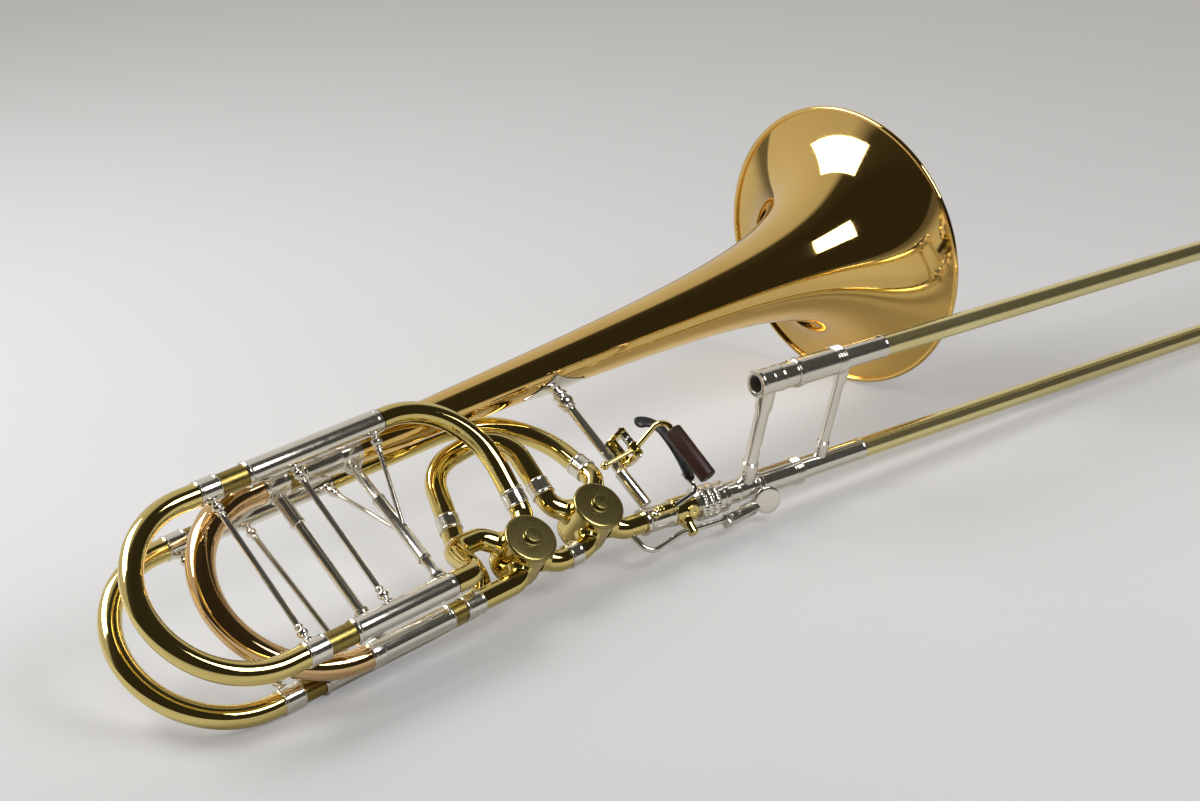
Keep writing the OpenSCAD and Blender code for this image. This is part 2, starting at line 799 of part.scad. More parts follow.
module water_key_lever() {
    color("#dddcd6") rest() slide_frame() {
        rod([key_x - 19.5, -6, 11.5], [key_x - 19.5, 6, 11.5], 1);
        rod([key_x - 19.5, -2.6, 11.5], [key_x - 19.5, 2.6, 11.5], 2.4);
        translate([key_x - 19.5, -1.5, 12.5]) cube([15, 3, 4.6]);
        rod([key_x, 0, 15.6], [key_x, 0, 19.6], 4.4);
        translate([key_x - 8, -1.5, 16.5]) cube([8, 3, 2.4]);
        translate([key_x - 52, -2.5, 13]) cube([34, 5, 1.6]);
    }
}

module water_key_cork() {
    color("#b98a56") rest() slide_frame() rod([key_x, 0, 13.5], [key_x, 0, 15.6], 3.8);
}

bell();
bell_rim_wire();
bell_tail_ferrule();
main_upper_sleeve();
neckpipe();
neck_inner_leg();
neck_ferrule();
bell_brace();
rear_brace();
valve1_casing();
valve2_casing();
valve1_cap();
valve2_cap();
valve1_bearing_plate();
valve2_bearing_plate();
receiver_knuckle();
valve_link_tube();
valve1_long_tube();
valve1_loop_tube();
valve2_large_bend();
valve2_small_bend();
valve_ferrules();
valve1_outer_legs();
valve2_outer_legs();
slide_receiver();
lever1_bracket();
lever2_hinge_barrel();
rest_saddle();
finger_rest_rod();
finger_rest_block();
finger_rest_disc();
main_tuning_bow();
main_slide_fittings();
main_upper_inner_leg();
valve1_bow();
valve1_inner_legs();
valve1_slide_fittings();
valve2_bow();
valve2_inner_legs();
valve2_slide_fittings();
valve1_rotor();
valve2_rotor();
valve1_stop_arm();
valve2_stop_arm();
lever1_wire();
lever1_roller();
lever2_wire();
lever2_paddle();
lock_nut();
slide_inner_tubes();
slide_inner_fittings();
slide_inner_brace();
slide_outer_tubes();
slide_outer_sleeves();
slide_outer_brace();
slide_crook();
crook_bumper();
water_key_lever();
water_key_mount();
water_key_cork();
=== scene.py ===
"""Bass trombone lying on a pale studio floor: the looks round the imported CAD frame.

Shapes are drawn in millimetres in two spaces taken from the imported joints. BELL has +X along the bell
to its mouth, +Y from the neck tube to the bell and +Z to the front. SLIDE has +X along the hand slide
and +Z from its lower to its upper tube. Both turn into metres in the frame's own axes.
"""

import json
import math

import bpy
import numpy as np
from mathutils import Matrix, Vector


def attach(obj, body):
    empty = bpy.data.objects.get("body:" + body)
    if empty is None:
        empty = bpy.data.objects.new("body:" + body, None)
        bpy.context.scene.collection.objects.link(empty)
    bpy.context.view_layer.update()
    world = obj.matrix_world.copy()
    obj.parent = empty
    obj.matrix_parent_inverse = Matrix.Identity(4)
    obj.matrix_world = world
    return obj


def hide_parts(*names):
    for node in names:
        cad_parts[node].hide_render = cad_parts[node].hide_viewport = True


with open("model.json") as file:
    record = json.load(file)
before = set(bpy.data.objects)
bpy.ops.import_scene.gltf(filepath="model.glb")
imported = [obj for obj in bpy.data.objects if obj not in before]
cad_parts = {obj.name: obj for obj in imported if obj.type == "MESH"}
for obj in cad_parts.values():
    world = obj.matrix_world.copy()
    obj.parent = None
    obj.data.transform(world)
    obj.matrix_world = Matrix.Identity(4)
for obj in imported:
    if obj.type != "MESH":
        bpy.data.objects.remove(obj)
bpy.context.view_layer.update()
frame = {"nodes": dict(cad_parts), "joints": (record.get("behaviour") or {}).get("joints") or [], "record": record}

# ---------------------------------------------------------------- sizes, in millimetres
MM = 0.001
TUBE_R = 7.8  # valve tubing, over the metal
INNER_R = 7.55  # bare inner legs of the valve slides
SLEEVE_R = 8.27  # nickel outer legs of the valve slides
FERRULE_R = 8.55
MAIN_R = 10.6  # large end of the main tuning bow
MAIN_SLEEVE_R = 11.35
NECK_R = 8.15  # small end of the main tuning bow
BELL_END = 530.0  # length of the bell flare
MOUTH_R = 119.45
BELL_WALL = 0.7
FLARE_LENGTH = 23.2  # the flare follows a power law of this length
FLARE_POWER = 0.696
TAPER_START = 300.0  # behind this the stem narrows a little more
NECK_Y = -138.0
TA = (0.0, 27.0)  # (y, z) of the two legs of valve 2's slide
TB = (-127.0, 23.0)
BU = (-1.0, -30.0)  # (y, z) of the two legs of valve 1's slide
BL = (-133.0, -20.0)
BOW_A_X = -676.0  # where the bows begin: valve 2, valve 1 and main
BOW_B_X = -677.0
BOW_C_X = -615.0
V1 = np.array([-400.0, -120.0, 0.0])  # centres of the two rotors
V2 = np.array([-465.0, -120.0, 0.0])
KNUCKLE = np.array([-382.0, -138.0, 0.0])
CASE_R = 18.0
CASE_HALF = 15.0
BRACE_R = 2.1  # thin rods: slide braces, finger rest, first lever
UPPER = 91.6  # between the two tubes of the hand slide
OUTER_R = 7.95
BAND_R = 8.5  # nickel bands on the hand slide's outer tubes
REACH = 800.0  # where the hand slide's end bow begins
X = np.array([1.0, 0.0, 0.0])
Y = np.array([0.0, 1.0, 0.0])
Z = np.array([0.0, 0.0, 1.0])

# ---------------------------------------------------------------- the two drawing spaces
joints = {j["name"]: j for j in frame["joints"]}


def space(x_axis, y_axis, z_axis, point_world, point_mm):
    """Matrix from millimetres in a drawing space to metres, given its axes and one known point."""
    turn = Matrix((x_axis, y_axis, z_axis)).transposed()
    origin = Vector(point_world) - turn @ (Vector(point_mm) * MM)
    return Matrix.Translation(origin) @ turn.to_4x4() @ Matrix.Scale(MM, 4)


BELL = space(
    -Vector(joints["main_tuning_pull"]["axis"]),
    Vector(joints["lever1_press"]["axis"]),
    Vector(joints["valve1_turn"]["axis"]),
    joints["valve1_turn"]["pos_m"],
    V1,
)
slide_x = Vector(joints["hand_slide_travel"]["axis"])
slide_y = Vector(joints["water_key_press"]["axis"])
SLIDE = space(
    slide_x,
    slide_y,
    slide_x.cross(slide_y),
    frame["record"]["mounts"][0]["pos_m"],
    (106.5, 0.0, UPPER),
)
SLIDE_DIR = np.array((BELL.inverted().to_3x3() @ slide_x).normalized())


def slide_point(x, y, z):
    """A point of the slide space, in the bell space."""
    return np.array(BELL.inverted() @ (SLIDE @ Vector((x, y, z))))


# ---------------------------------------------------------------- mesh building
def unit(v):
    """The vector v at length 1."""
    v = np.asarray(v, float)
    return v / np.linalg.norm(v)


def across(d):
    """Two unit vectors square to d."""
    d = unit(d)
    side = Z if abs(d[2]) < 0.9 else X
    u = unit(np.cross(side, d))
    return u, np.cross(d, u)


class Shape:
    """Vertices and faces gathered from several forms, in one drawing space."""

    def __init__(self):
        self.points = []
        self.faces = []

    def add(self, points, faces):
        """Adds a form whose faces count its own points from 0."""
        base = len(self.points)
        self.points.extend(tuple(map(float, p)) for p in points)
        self.faces.extend(tuple(base + k for k in f) for f in faces)
        return self

    def rings(self, rows, closed_along=False):
        """Joins rings of equal length, each an (n, 3) array, and caps the ends or joins last to first."""
        n = len(rows[0])
        count = len(rows)
        points = np.concatenate(rows)
        faces = []
        last = count if closed_along else count - 1
        for i in range(last):
            j = (i + 1) % count
            for k in range(n):
                m = (k + 1) % n
                faces.append((i * n + k, i * n + m, j * n + m, j * n + k))
        if not closed_along:
            faces.append(tuple(range(n - 1, -1, -1)))
            faces.append(tuple((count - 1) * n + k for k in range(n)))
        return self.add(points, faces)

    def lathe(self, outline, at, d, segs=72):
        """Turns (along, radius) points round the axis through `at` along d. An outline that starts and
        ends on the axis is a solid; any other is a closed ring."""
        u, v = across(d)
        d = unit(d)
        turn = np.linspace(0, 2 * math.pi, segs, endpoint=False)
        circle = np.cos(turn)[:, None] * u + np.sin(turn)[:, None] * v
        rows = [np.asarray(at) + x * d + max(r, 1e-4) * circle for x, r in outline]
        if outline[0][1] == 0 and outline[-1][1] == 0:
            return self.rings(rows[1:-1])
        return self.rings(rows, closed_along=True)

    def sweep(self, path, radius, segs=40, flat=1.0, up=None, ends="flat"):
        """Round or oval section carried along a path. radius is a number or one per point."""
        path = np.asarray(path, float)
        n = len(path)
        r = np.full(n, radius, float) if np.isscalar(radius) else np.asarray(radius, float)
        t = np.gradient(path, axis=0)
        t /= np.linalg.norm(t, axis=1)[:, None]
        u = across(t[0])[0] if up is None else unit(up - np.dot(up, t[0]) * t[0])
        turn = np.linspace(0, 2 * math.pi, segs, endpoint=False)
        stations = []
        for k in range(n):
            u = unit(u - np.dot(u, t[k]) * t[k])
            stations.append((path[k], r[k], u, np.cross(t[k], u), t[k]))
        if ends == "round":
            dome = (20, 40, 60, 80)
            before = [domed(stations[0], a, -1) for a in reversed(dome)]
            after = [domed(stations[-1], a, 1) for a in dome]
            stations = before + stations + after
        return self.rings([ring_at(*station[:4], turn, flat) for station in stations])


def domed(station, degrees, way):
    """A station of a round end, at an angle above the last full one."""
    p, r, u, v, w = station
    a = math.radians(degrees)
    return p + way * w * r * math.sin(a), r * math.cos(a), u, v, w


def ring_at(p, r, u, v, turn, flat):
    """Ring of points round p in the plane of u and v, flattened along v."""
    return p + r * np.cos(turn)[:, None] * u + r * flat * np.sin(turn)[:, None] * v


def eased(outline, size=0.3, steps=3):
    """Rounds the corners of an outline of (along, radius) points."""
    solid = outline[0][1] == 0 and outline[-1][1] == 0
    pts = [np.array(p, float) for p in outline]
    n = len(pts)
    out = []
    for k in range(n):
        if solid and k in (0, n - 1):
            out.append(tuple(pts[k]))
            continue
        a, b, c = pts[k - 1], pts[k], pts[(k + 1) % n]
        la, lc = np.linalg.norm(a - b), np.linalg.norm(c - b)
        if la < 1e-6 or lc < 1e-6:
            out.append(tuple(b))
            continue
        da, dc = (a - b) / la, (c - b) / lc
        if np.dot(da, dc) < -0.966:
            out.append(tuple(b))
            continue
        s = min(size, 0.42 * la, 0.42 * lc)
        p, q = b + da * s, b + dc * s
        for i in range(steps + 1):
            w = i / steps
            m = (1 - w) ** 2 * p + 2 * w * (1 - w) * b + w**2 * q
            out.append((m[0], max(m[1], 0.0)))
    return out


def bead(x0, x1, r, height, steps=6):
    """Points of a round bead of an outline between x0 and x1."""
    shares = [k / steps for k in range(steps + 1)]
    return [(x0 + (x1 - x0) * t, r + height * math.sin(math.pi * t)) for t in shares]


def hollow(outer, bore):
    """Closed outline of a tube whose outside is `outer` (start to end) and whose bore radius is `bore`."""
    return list(outer) + [(outer[-1][0], bore), (outer[0][0], bore)]


def filleted(corners, radii, step=math.radians(4)):
    """Dense points along the corners, rounded at each inner corner to the radius given for it."""
    c = [np.asarray(p, float) for p in corners]
    out = [c[0]]
    for k in range(1, len(c) - 1):
        d0, d1 = unit(c[k] - c[k - 1]), unit(c[k + 1] - c[k])
        angle = math.acos(max(-1, min(1, float(np.dot(d0, d1)))))
        cut = radii[k] * math.tan(angle / 2)
        start = c[k] - d0 * cut
        n = unit(d1 - np.dot(d1, d0) * d0)
        centre = start + n * radii[k]
        steps = max(2, int(angle / step))
        for i in range(steps + 1):
            a = angle * i / steps
            out.append(centre - n * radii[k] * math.cos(a) + d0 * radii[k] * math.sin(a))
    out.append(c[-1])
    return spaced(out)


def spaced(path, longest=9.0):
    """Splits long straight steps so that no step is longer than `longest`."""
    out = [np.asarray(path[0], float)]
    for p in path[1:]:
        gap = np.linalg.norm(p - out[-1])
        if gap < 1e-3:
            continue
        parts = max(1, int(math.ceil(gap / longest)))
        a = out[-1]
        for i in range(1, parts + 1):
            out.append(a + (np.asarray(p) - a) * i / parts)
    return np.array(out)


def half_circle(a, b, back, steps=60):
    """Points of a half circle from a to b that bulges along `back`."""
    a, b = np.asarray(a, float), np.asarray(b, float)
    c, e = (a + b) / 2, (a - b) / 2
    r = np.linalg.norm(e)
    turn = np.linspace(0, math.pi, steps + 1)
    return [c + math.cos(t) * e + math.sin(t) * r * unit(back) for t in turn]


def at(x, yz):
    """Point of the bell space at x on a line along X that passes through (y, z)."""
    return np.array([x, yz[0], yz[1]], float)


# ---------------------------------------------------------------- materials
def new_material(name, metallic, roughness):
    """A material with its node tree, its shader and its object coordinates."""
    mat = bpy.data.materials.new(name)
    mat.use_nodes = True
    tree = mat.node_tree
    shader = tree.nodes["Principled BSDF"]
    shader.inputs["Metallic"].default_value = metallic
    shader.inputs["Roughness"].default_value = roughness
    coords = tree.nodes.new("ShaderNodeTexCoord")
    return mat, tree, shader, coords.outputs["Object"]


def noise(tree, coords, scale, detail, stretch=(1, 1, 1), rough=0.5):
    """Value of a noise texture over the coordinates."""
    mapping = tree.nodes.new("ShaderNodeMapping")
    mapping.inputs["Scale"].default_value = stretch
    tree.links.new(coords, mapping.inputs["Vector"])
    tex = tree.nodes.new("ShaderNodeTexNoise")
    tex.inputs["Scale"].default_value = scale
    tex.inputs["Detail"].default_value = detail
    tex.inputs["Roughness"].default_value = rough
    tree.links.new(mapping.outputs["Vector"], tex.inputs["Vector"])
    return tex.outputs["Fac"]


def ramp(tree, value, stops):
    """Colour that runs through the (place, colour) stops as value goes from 0 to 1."""
    node = tree.nodes.new("ShaderNodeValToRGB")
    while len(node.color_ramp.elements) < len(stops):
        node.color_ramp.elements.new(0.5)
    for element, (place, colour) in zip(node.color_ramp.elements, stops):
        element.position = place
        element.color = (*colour, 1.0)
    tree.links.new(value, node.inputs["Fac"])
    return node.outputs["Color"]


def spread(tree, value, low, high, start=0.3, end=0.7):
    """Value moved from the range start to end to the range low to high."""
    node = tree.nodes.new("ShaderNodeMapRange")
    node.inputs["From Min"].default_value = start
    node.inputs["From Max"].default_value = end
    node.inputs["To Min"].default_value = low
    node.inputs["To Max"].default_value = high
    tree.links.new(value, node.inputs["Value"])
    return node.outputs["Result"]


def bump(tree, value, strength, distance, under=None):
    """Normal of a surface that value raises, over another bump if one is given."""
    node = tree.nodes.new("ShaderNodeBump")
    node.inputs["Strength"].default_value = strength
    node.inputs["Distance"].default_value = distance
    tree.links.new(value, node.inputs["Height"])
    if under is not None:
        tree.links.new(under, node.inputs["Normal"])
    return node.outputs["Normal"]


def metal(name, tone, worn, rough, fuzz, coat=0.0, drawn=0.15, wave=0.05, bare=1.0):
    """Polished or drawn metal: soft tone drift, handling haze, and fine scratches along the tubes.

    rough and fuzz are the roughness and how far it varies, drawn and wave are the strengths of the
    scratches and of the soft ripples, and bare is how much of the surface is clean metal.
    """
    mat, tree, shader, coords = new_material(name, bare, rough)
    drift = noise(tree, coords, 14.0, 4.0)
    tree.links.new(ramp(tree, drift, [(0.3, tone), (0.75, worn)]), shader.inputs["Base Color"])
    haze = noise(tree, coords, 160.0, 6.0, rough=0.7)
    tree.links.new(spread(tree, haze, max(rough - fuzz, 0.01), rough + fuzz), shader.inputs["Roughness"])
    ripples = noise(tree, coords, 24.0, 2.0)
    lines = noise(tree, coords, 420.0, 3.0, stretch=(0.05, 1.0, 1.0))
    under = bump(tree, ripples, wave, 0.0012)
    tree.links.new(bump(tree, lines, drawn, 0.00006, under), shader.inputs["Normal"])
    shader.inputs["Coat Weight"].default_value = coat
    shader.inputs["Coat Roughness"].default_value = 0.03
    return mat


def turned_brass(name, tone, worn, centres):
    """Lathe-brushed brass: fine rings round each centre line, with a dull lacquer over them."""
    mat, tree, shader, coords = new_material(name, 1.0, 0.24)
    nearest = None
    for centre in centres:
        offset = tree.nodes.new("ShaderNodeVectorMath")
        offset.operation = "DISTANCE"
        offset.inputs[1].default_value = centre
        tree.links.new(coords, offset.inputs[0])
        if nearest is None:
            nearest = offset.outputs["Value"]
        else:
            low = tree.nodes.new("ShaderNodeMath")
            low.operation = "MINIMUM"
            tree.links.new(nearest, low.inputs[0])
            tree.links.new(offset.outputs["Value"], low.inputs[1])
            nearest = low.outputs["Value"]
    rings = tree.nodes.new("ShaderNodeTexNoise")
    rings.noise_dimensions = "1D"
    rings.inputs["Scale"].default_value = 5200.0
    rings.inputs["Detail"].default_value = 4.0
    tree.links.new(nearest, rings.inputs["W"])
    drift = noise(tree, coords, 60.0, 5.0)
    tree.links.new(ramp(tree, drift, [(0.3, tone), (0.7, worn)]), shader.inputs["Base Color"])
    tree.links.new(spread(tree, rings.outputs["Fac"], 0.2, 0.3), shader.inputs["Roughness"])
    tree.links.new(bump(tree, rings.outputs["Fac"], 0.07, 0.00003), shader.inputs["Normal"])
    return mat


def wood(name):
    """Dark oiled wood with fine grain along the roller."""
    mat, tree, shader, coords = new_material(name, 0.0, 0.35)
    turned = tree.nodes.new("ShaderNodeMapping")
    turned.inputs["Rotation"].default_value = (math.radians(-36), 0.0, 0.0)
    tree.links.new(coords, turned.inputs["Vector"])
    grain = noise(tree, turned.outputs["Vector"], 600.0, 6.0, stretch=(1.0, 0.06, 1.0), rough=0.65)
    dark, red = (0.012, 0.004, 0.003), (0.048, 0.013, 0.008)
    tree.links.new(ramp(tree, grain, [(0.35, dark), (0.68, red)]), shader.inputs["Base Color"])
    tree.links.new(spread(tree, grain, 0.52, 0.38), shader.inputs["Roughness"])
    tree.links.new(bump(tree, grain, 0.3, 0.0001), shader.inputs["Normal"])
    shader.inputs["Specular IOR Level"].default_value = 0.35
    return mat


def moulded(name, tone, light, rough, scale=900.0):
    """Rubber, plastic or cork with a fine surface grain."""
    mat, tree, shader, coords = new_material(name, 0.0, rough)
    grain = noise(tree, coords, scale, 4.0)
    tree.links.new(ramp(tree, grain, [(0.35, tone), (0.75, light)]), shader.inputs["Base Color"])
    tree.links.new(spread(tree, grain, rough - 0.07, rough + 0.07), shader.inputs["Roughness"])
    tree.links.new(bump(tree, grain, 0.15, 0.00008), shader.inputs["Normal"])
    return mat


CAP_CENTRES = [tuple(BELL @ Vector(v + (CASE_HALF + 3.0) * Z)) for v in (V1, V2)]
MATERIALS = {
    "bell_brass": metal("bell_brass", (0.84, 0.58, 0.20), (0.78, 0.52, 0.16), 0.05, 0.02, 0.15, 0.08, 0.03),
    "rose_brass": metal("rose_brass", (0.80, 0.55, 0.28), (0.73, 0.48, 0.23), 0.055, 0.02, 0.15, 0.1, 0.04),
    "yellow_brass": metal("yellow_brass", (0.78, 0.64, 0.25), (0.71, 0.57, 0.2), 0.05, 0.02, 0.2, 0.1, 0.04),
    "bare_brass": metal("bare_brass", (0.36, 0.28, 0.085), (0.26, 0.19, 0.05), 0.3, 0.07, drawn=0.6),
    "slide_brass": metal(
        "slide_brass", (0.90, 0.80, 0.43), (0.84, 0.73, 0.36), 0.2, 0.03, 0.1, 0.08, 0.03, bare=0.92
    ),
    "nickel_silver": metal(
        "nickel_silver", (0.84, 0.81, 0.75), (0.76, 0.73, 0.66), 0.13, 0.03, 0.0, 0.15, 0.04, bare=0.95
    ),
    "slide_chrome": metal("slide_chrome", (0.76, 0.76, 0.76), (0.68, 0.68, 0.68), 0.06, 0.02, drawn=0.2),
    "valve_cap_brass": turned_brass("valve_cap_brass", (0.42, 0.35, 0.14), (0.34, 0.28, 0.10), CAP_CENTRES),
    "rubber_black": moulded("rubber_black", (0.02, 0.02, 0.02), (0.045, 0.045, 0.045), 0.6),
    "paddle_black": moulded("paddle_black", (0.008, 0.009, 0.010), (0.02, 0.021, 0.023), 0.42, 500.0),
    "roller_wood": wood("roller_wood"),
    "cork": moulded("cork", (0.30, 0.17, 0.075), (0.55, 0.37, 0.19), 0.8, 350.0),
}


# ---------------------------------------------------------------- pieces
def piece(name, shape, body, slot, nodes=(), room=BELL, sharp=32.0, look=None):
    """Makes an object of a shape, in metres, smooth but for its real edges, and rides it on its body."""
    mesh = bpy.data.meshes.new(name)
    mesh.from_pydata([tuple(room @ Vector(p)) for p in shape.points], [], shape.faces)
    mesh.validate()
    mesh.update()
    for polygon in mesh.polygons:
        polygon.use_smooth = True
    mesh.set_sharp_from_angle(angle=math.radians(sharp))
    mesh.materials.append(MATERIALS[look or slot])
    obj = bpy.data.objects.new(name, mesh)
    bpy.context.scene.collection.objects.link(obj)
    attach(obj, body)
    if nodes:
        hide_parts(*nodes)
    return obj


def flare(s):
    """Outer radius of the bell, s millimetres behind its mouth."""
    taper = 2 * ((s - TAPER_START) / 220) ** 2 if s > TAPER_START else 0
    return MOUTH_R / (1 + s / FLARE_LENGTH) ** FLARE_POWER - taper


def flare_slope(s):
    """How steeply the bell widens there, without the stem's taper."""
    return FLARE_POWER * MOUTH_R / FLARE_LENGTH / (1 + s / FLARE_LENGTH) ** (FLARE_POWER + 1)


def bell_section():
    """The bell, its rim wire, the ring on its tail and the main slide's upper outer leg."""
    steps = [0.4 + (BELL_END - 0.4) * (k / 150) ** 1.8 for k in range(151)]
    outer = [(-s, flare(s)) for s in steps]
    inner = [(-s, flare(s) - BELL_WALL * math.hypot(1, flare_slope(s))) for s in reversed(steps)]
    shell = Shape().lathe(outer + inner, (0, 0, 0), X, 320)
    piece("bell_shell", shell, "bell_section", "rose_brass", ["bell"], look="bell_brass")

    turn = [math.radians(a) for a in range(0, 360, 12)]
    curl = [(-1 + 2.0 * math.cos(a), MOUTH_R - 0.8 + 2.0 * math.sin(a)) for a in turn]
    rim = Shape().lathe(curl, (0, 0, 0), X, 320)
    piece("bell_rim", rim, "bell_section", "rose_brass", ["bell_rim_wire"], look="bell_brass")

    outline = [(-14, 11.9), (-12.6, 12.25), (-1.5, 12.25), (-1, 11.7), (0, 11.7), (0.6, 12.2), (3, 12.2)]
    tail = Shape().lathe(eased(hollow(outline, 10.9)), (-BELL_END, 0, 0), X)
    piece("bell_tail_ring", tail, "bell_section", "nickel_silver", ["bell_tail_ferrule"])

    r = MAIN_SLEEVE_R
    outline = [(-577, r)] + bead(-577, -573.5, r, 0.9)
    outline += [(-536, r), (-535.6, r - 0.15), (-534.8, r - 0.15), (-534.4, r), (-531, r)]
    sleeve = Shape().lathe(eased(hollow(outline, MAIN_R + 0.1), 0.2), (0, 0, 0), X)
    piece("main_upper_outer_leg", sleeve, "bell_section", "nickel_silver", ["main_upper_sleeve"])


def leg_sleeve(shape, yz, x0, x1, r=SLEEVE_R, bore=INNER_R + 0.05, ring=1.0):
    """Outer leg of a slide, with a rolled bead at its open end and a fine line near the other."""
    outline = (
        [(x0, r)] + bead(x0, x0 + 3.2, r, ring)
        + [(x0 + 4.4, r), (x1 - 4.6, r), (x1 - 4.3, r - 0.18), (x1 - 3.7, r - 0.18), (x1 - 3.4, r), (x1, r)]
    )
    return shape.lathe(eased(hollow(outline, bore), 0.22), (0, *yz), X)


def ferrule(shape, p, d, length, r=FERRULE_R, bore=TUBE_R - 0.02):
    """Ferrule over a joint: a plain band with a raised ring at each end."""
    h = length / 2
    outline = (
        [(-h, r - 0.35)] + bead(-h + 0.2, -h + 2.2, r, 0.38) + [(-h + 2.7, r), (h - 2.7, r)]
        + bead(h - 2.2, h - 0.2, r, 0.38) + [(h, r - 0.35)]
    )
    return shape.lathe(eased(hollow(outline, bore), 0.15), p, d, 64)


def knobbed_end(shape, p, d, foot):
    """Turned end of a thin brace: a foot on the tube, a neck, a ball and a ring, running out to the rod."""
    outline = [
        (foot - 1.2, 0), (foot - 1.2, 3.9), (foot + 0.8, 3.9), (foot + 1.4, 3.0), (foot + 2.2, 2.1),
        (foot + 3.2, 2.0), (foot + 3.8, 2.9), (foot + 4.9, 3.65), (foot + 6.3, 3.9), (foot + 7.6, 3.5),
        (foot + 8.6, 2.5), (foot + 9.4, 2.0), (foot + 10.0, 2.9), (foot + 11.0, 3.0), (foot + 11.6, 2.3),
        (foot + 12.4, 2.15), (foot + 14, 2.1), (foot + 14, 0),
    ]
    return shape.lathe(eased(outline, 0.5), p, d, 40)


def thin_brace(shape, p, q, foot):
    """Thin rod from p to q between two knobbed ends, whose feet are `foot` from the tubes' centres."""
    d = unit(q - p)
    knobbed_end(shape, p, d, foot)
    knobbed_end(shape, q, -d, foot)
    start = foot + 12
    end = np.linalg.norm(q - p) - start
    return shape.lathe([(start, 0), (start, BRACE_R), (end, BRACE_R), (end, 0)], p, d, 32)


def stepped_rod(shape, p, q, steps, foot, segs=48):
    """Round rod from p to q whose radius follows `steps`, pairs of (distance from p, radius)."""
    length = np.linalg.norm(q - p)
    outline = [(foot, 0), (foot, steps[0][1])]
    for k, (x, r) in enumerate(steps):
        if k:
            outline += [(x, steps[k - 1][1]), (x, r)]
    outline += [(length - foot, steps[-1][1]), (length - foot, 0)]
    return shape.lathe(eased(outline, 0.35), p, unit(q - p), segs)


# ---------------------------------------------------------------- tuning slides
def main_bow():
    """The large bow, which narrows from the bell's end to the neck."""
    path = [at(BOW_C_X + 10, (0, 0)), at(BOW_C_X + 5, (0, 0))]
    path += half_circle(at(BOW_C_X, (0, 0)), at(BOW_C_X, (NECK_Y, 0)), -X, 90)
    path += [at(BOW_C_X + 4, (NECK_Y, 0)), at(BOW_C_X + 8, (NECK_Y, 0))]
    travel = np.concatenate([[0], np.cumsum(np.linalg.norm(np.diff(path, axis=0), axis=1))])
    share = np.clip((travel - 10) / (travel[-1] - 18), 0, 1)
    bow = Shape().sweep(path, MAIN_R + (NECK_R - MAIN_R) * share, 56)
    piece("main_bow", bow, "main_tuning_slide", "rose_brass", ["main_tuning_bow"])


def main_fittings():
    """The nickel sleeves on the main bow's two legs, and the stepped brace between them."""
    s = Shape()
    upper = [(-607, 11.6)] + bead(-607, -604, 11.6, 0.75)
    upper += [(-603, 11.6), (-592, 11.6), (-591.6, 11.4), (-591, 11.4), (-590.6, 11.6), (-588, 11.6)]
    s.lathe(eased(hollow(upper, MAIN_R + 0.02), 0.2), (0, 0, 0), X)
    neck = [(-614, 8.75)] + bead(-613.6, -611.2, 8.9, 0.4)
    neck += [(-611, 9.0), (-604.5, 9.0), (-604, 8.6), (-603.6, 8.35), (-549, 8.35)]
    neck += bead(-548.6, -545.2, 8.3, 1.0) + [(-545, 8.3)]
    s.lathe(eased(hollow(neck, INNER_R + 0.06), 0.2), (0, NECK_Y, 0), X)
    brace_x = -598.0
    steps = [(0, 6.2), (13.2, 5.5), (14.2, 5.0), (33.5, 5.4), (35.4, 3.6)]
    steps += [(108.0, 5.3), (109.8, 5.0), (127.5, 5.6)]
    stepped_rod(s, at(brace_x, (0, 0)), at(brace_x, (NECK_Y, 0)), steps, 10.0)
    piece("main_slide_fittings_set", s, "main_tuning_slide", "nickel_silver", ["main_slide_fittings"])


def main_legs():
    """The bare inner legs, and the ferrule where the neck's leg begins."""
    r = MAIN_R - 0.05
    leg = Shape().lathe(hollow([(BOW_C_X + 9.5, r), (-537, r)], MAIN_R - 0.6), (0, 0, 0), X)
    piece("main_upper_stocking", leg, "main_tuning_slide", "bare_brass", ["main_upper_inner_leg"])
    neck_leg = Shape().lathe(hollow([(-600, INNER_R), (-526, INNER_R)], INNER_R - 0.5), (0, NECK_Y, 0), X)
    piece("neck_stocking", neck_leg, "bell_section", "bare_brass", ["neck_inner_leg"])
    band = ferrule(Shape(), (-526, NECK_Y, 0), X, 16)
    piece("neck_ferrule_band", band, "bell_section", "nickel_silver", ["neck_ferrule"])


def valve_slide(number, a, b, x, body, fitting_shift):
    """One valve's tuning slide: its bow, its two inner legs, its ferrules and its brace."""
    tag = f"valve{number}"
    pa, pb = at(x, a), at(x, b)
    path = [pa + 20 * X, pa + 12 * X, pa + 5 * X] + half_circle(pa, pb, -X, 80)
    path += [pb + 5 * X, pb + 12 * X, pb + 20 * X]
    piece(f"{tag}_slide_bow", Shape().sweep(path, TUBE_R, 52), body, "yellow_brass", [f"{tag}_bow"])
    legs = Shape()
    for yz in (a, b):
        legs.lathe(hollow([(x + 19, INNER_R), (x + 112, INNER_R)], INNER_R - 0.5), (0, *yz), X)
    piece(f"{tag}_stockings", legs, body, "bare_brass", [f"{tag}_inner_legs"])
    f = Shape()
    for yz in (a, b):
        ferrule(f, at(x + fitting_shift + 20, yz), X, 16)
    thin_brace(f, at(x + fitting_shift + 20, a), at(x + fitting_shift + 20, b), FERRULE_R - 0.4)
    piece(f"{tag}_slide_ferrules", f, body, "nickel_silver", [f"{tag}_slide_fittings"])


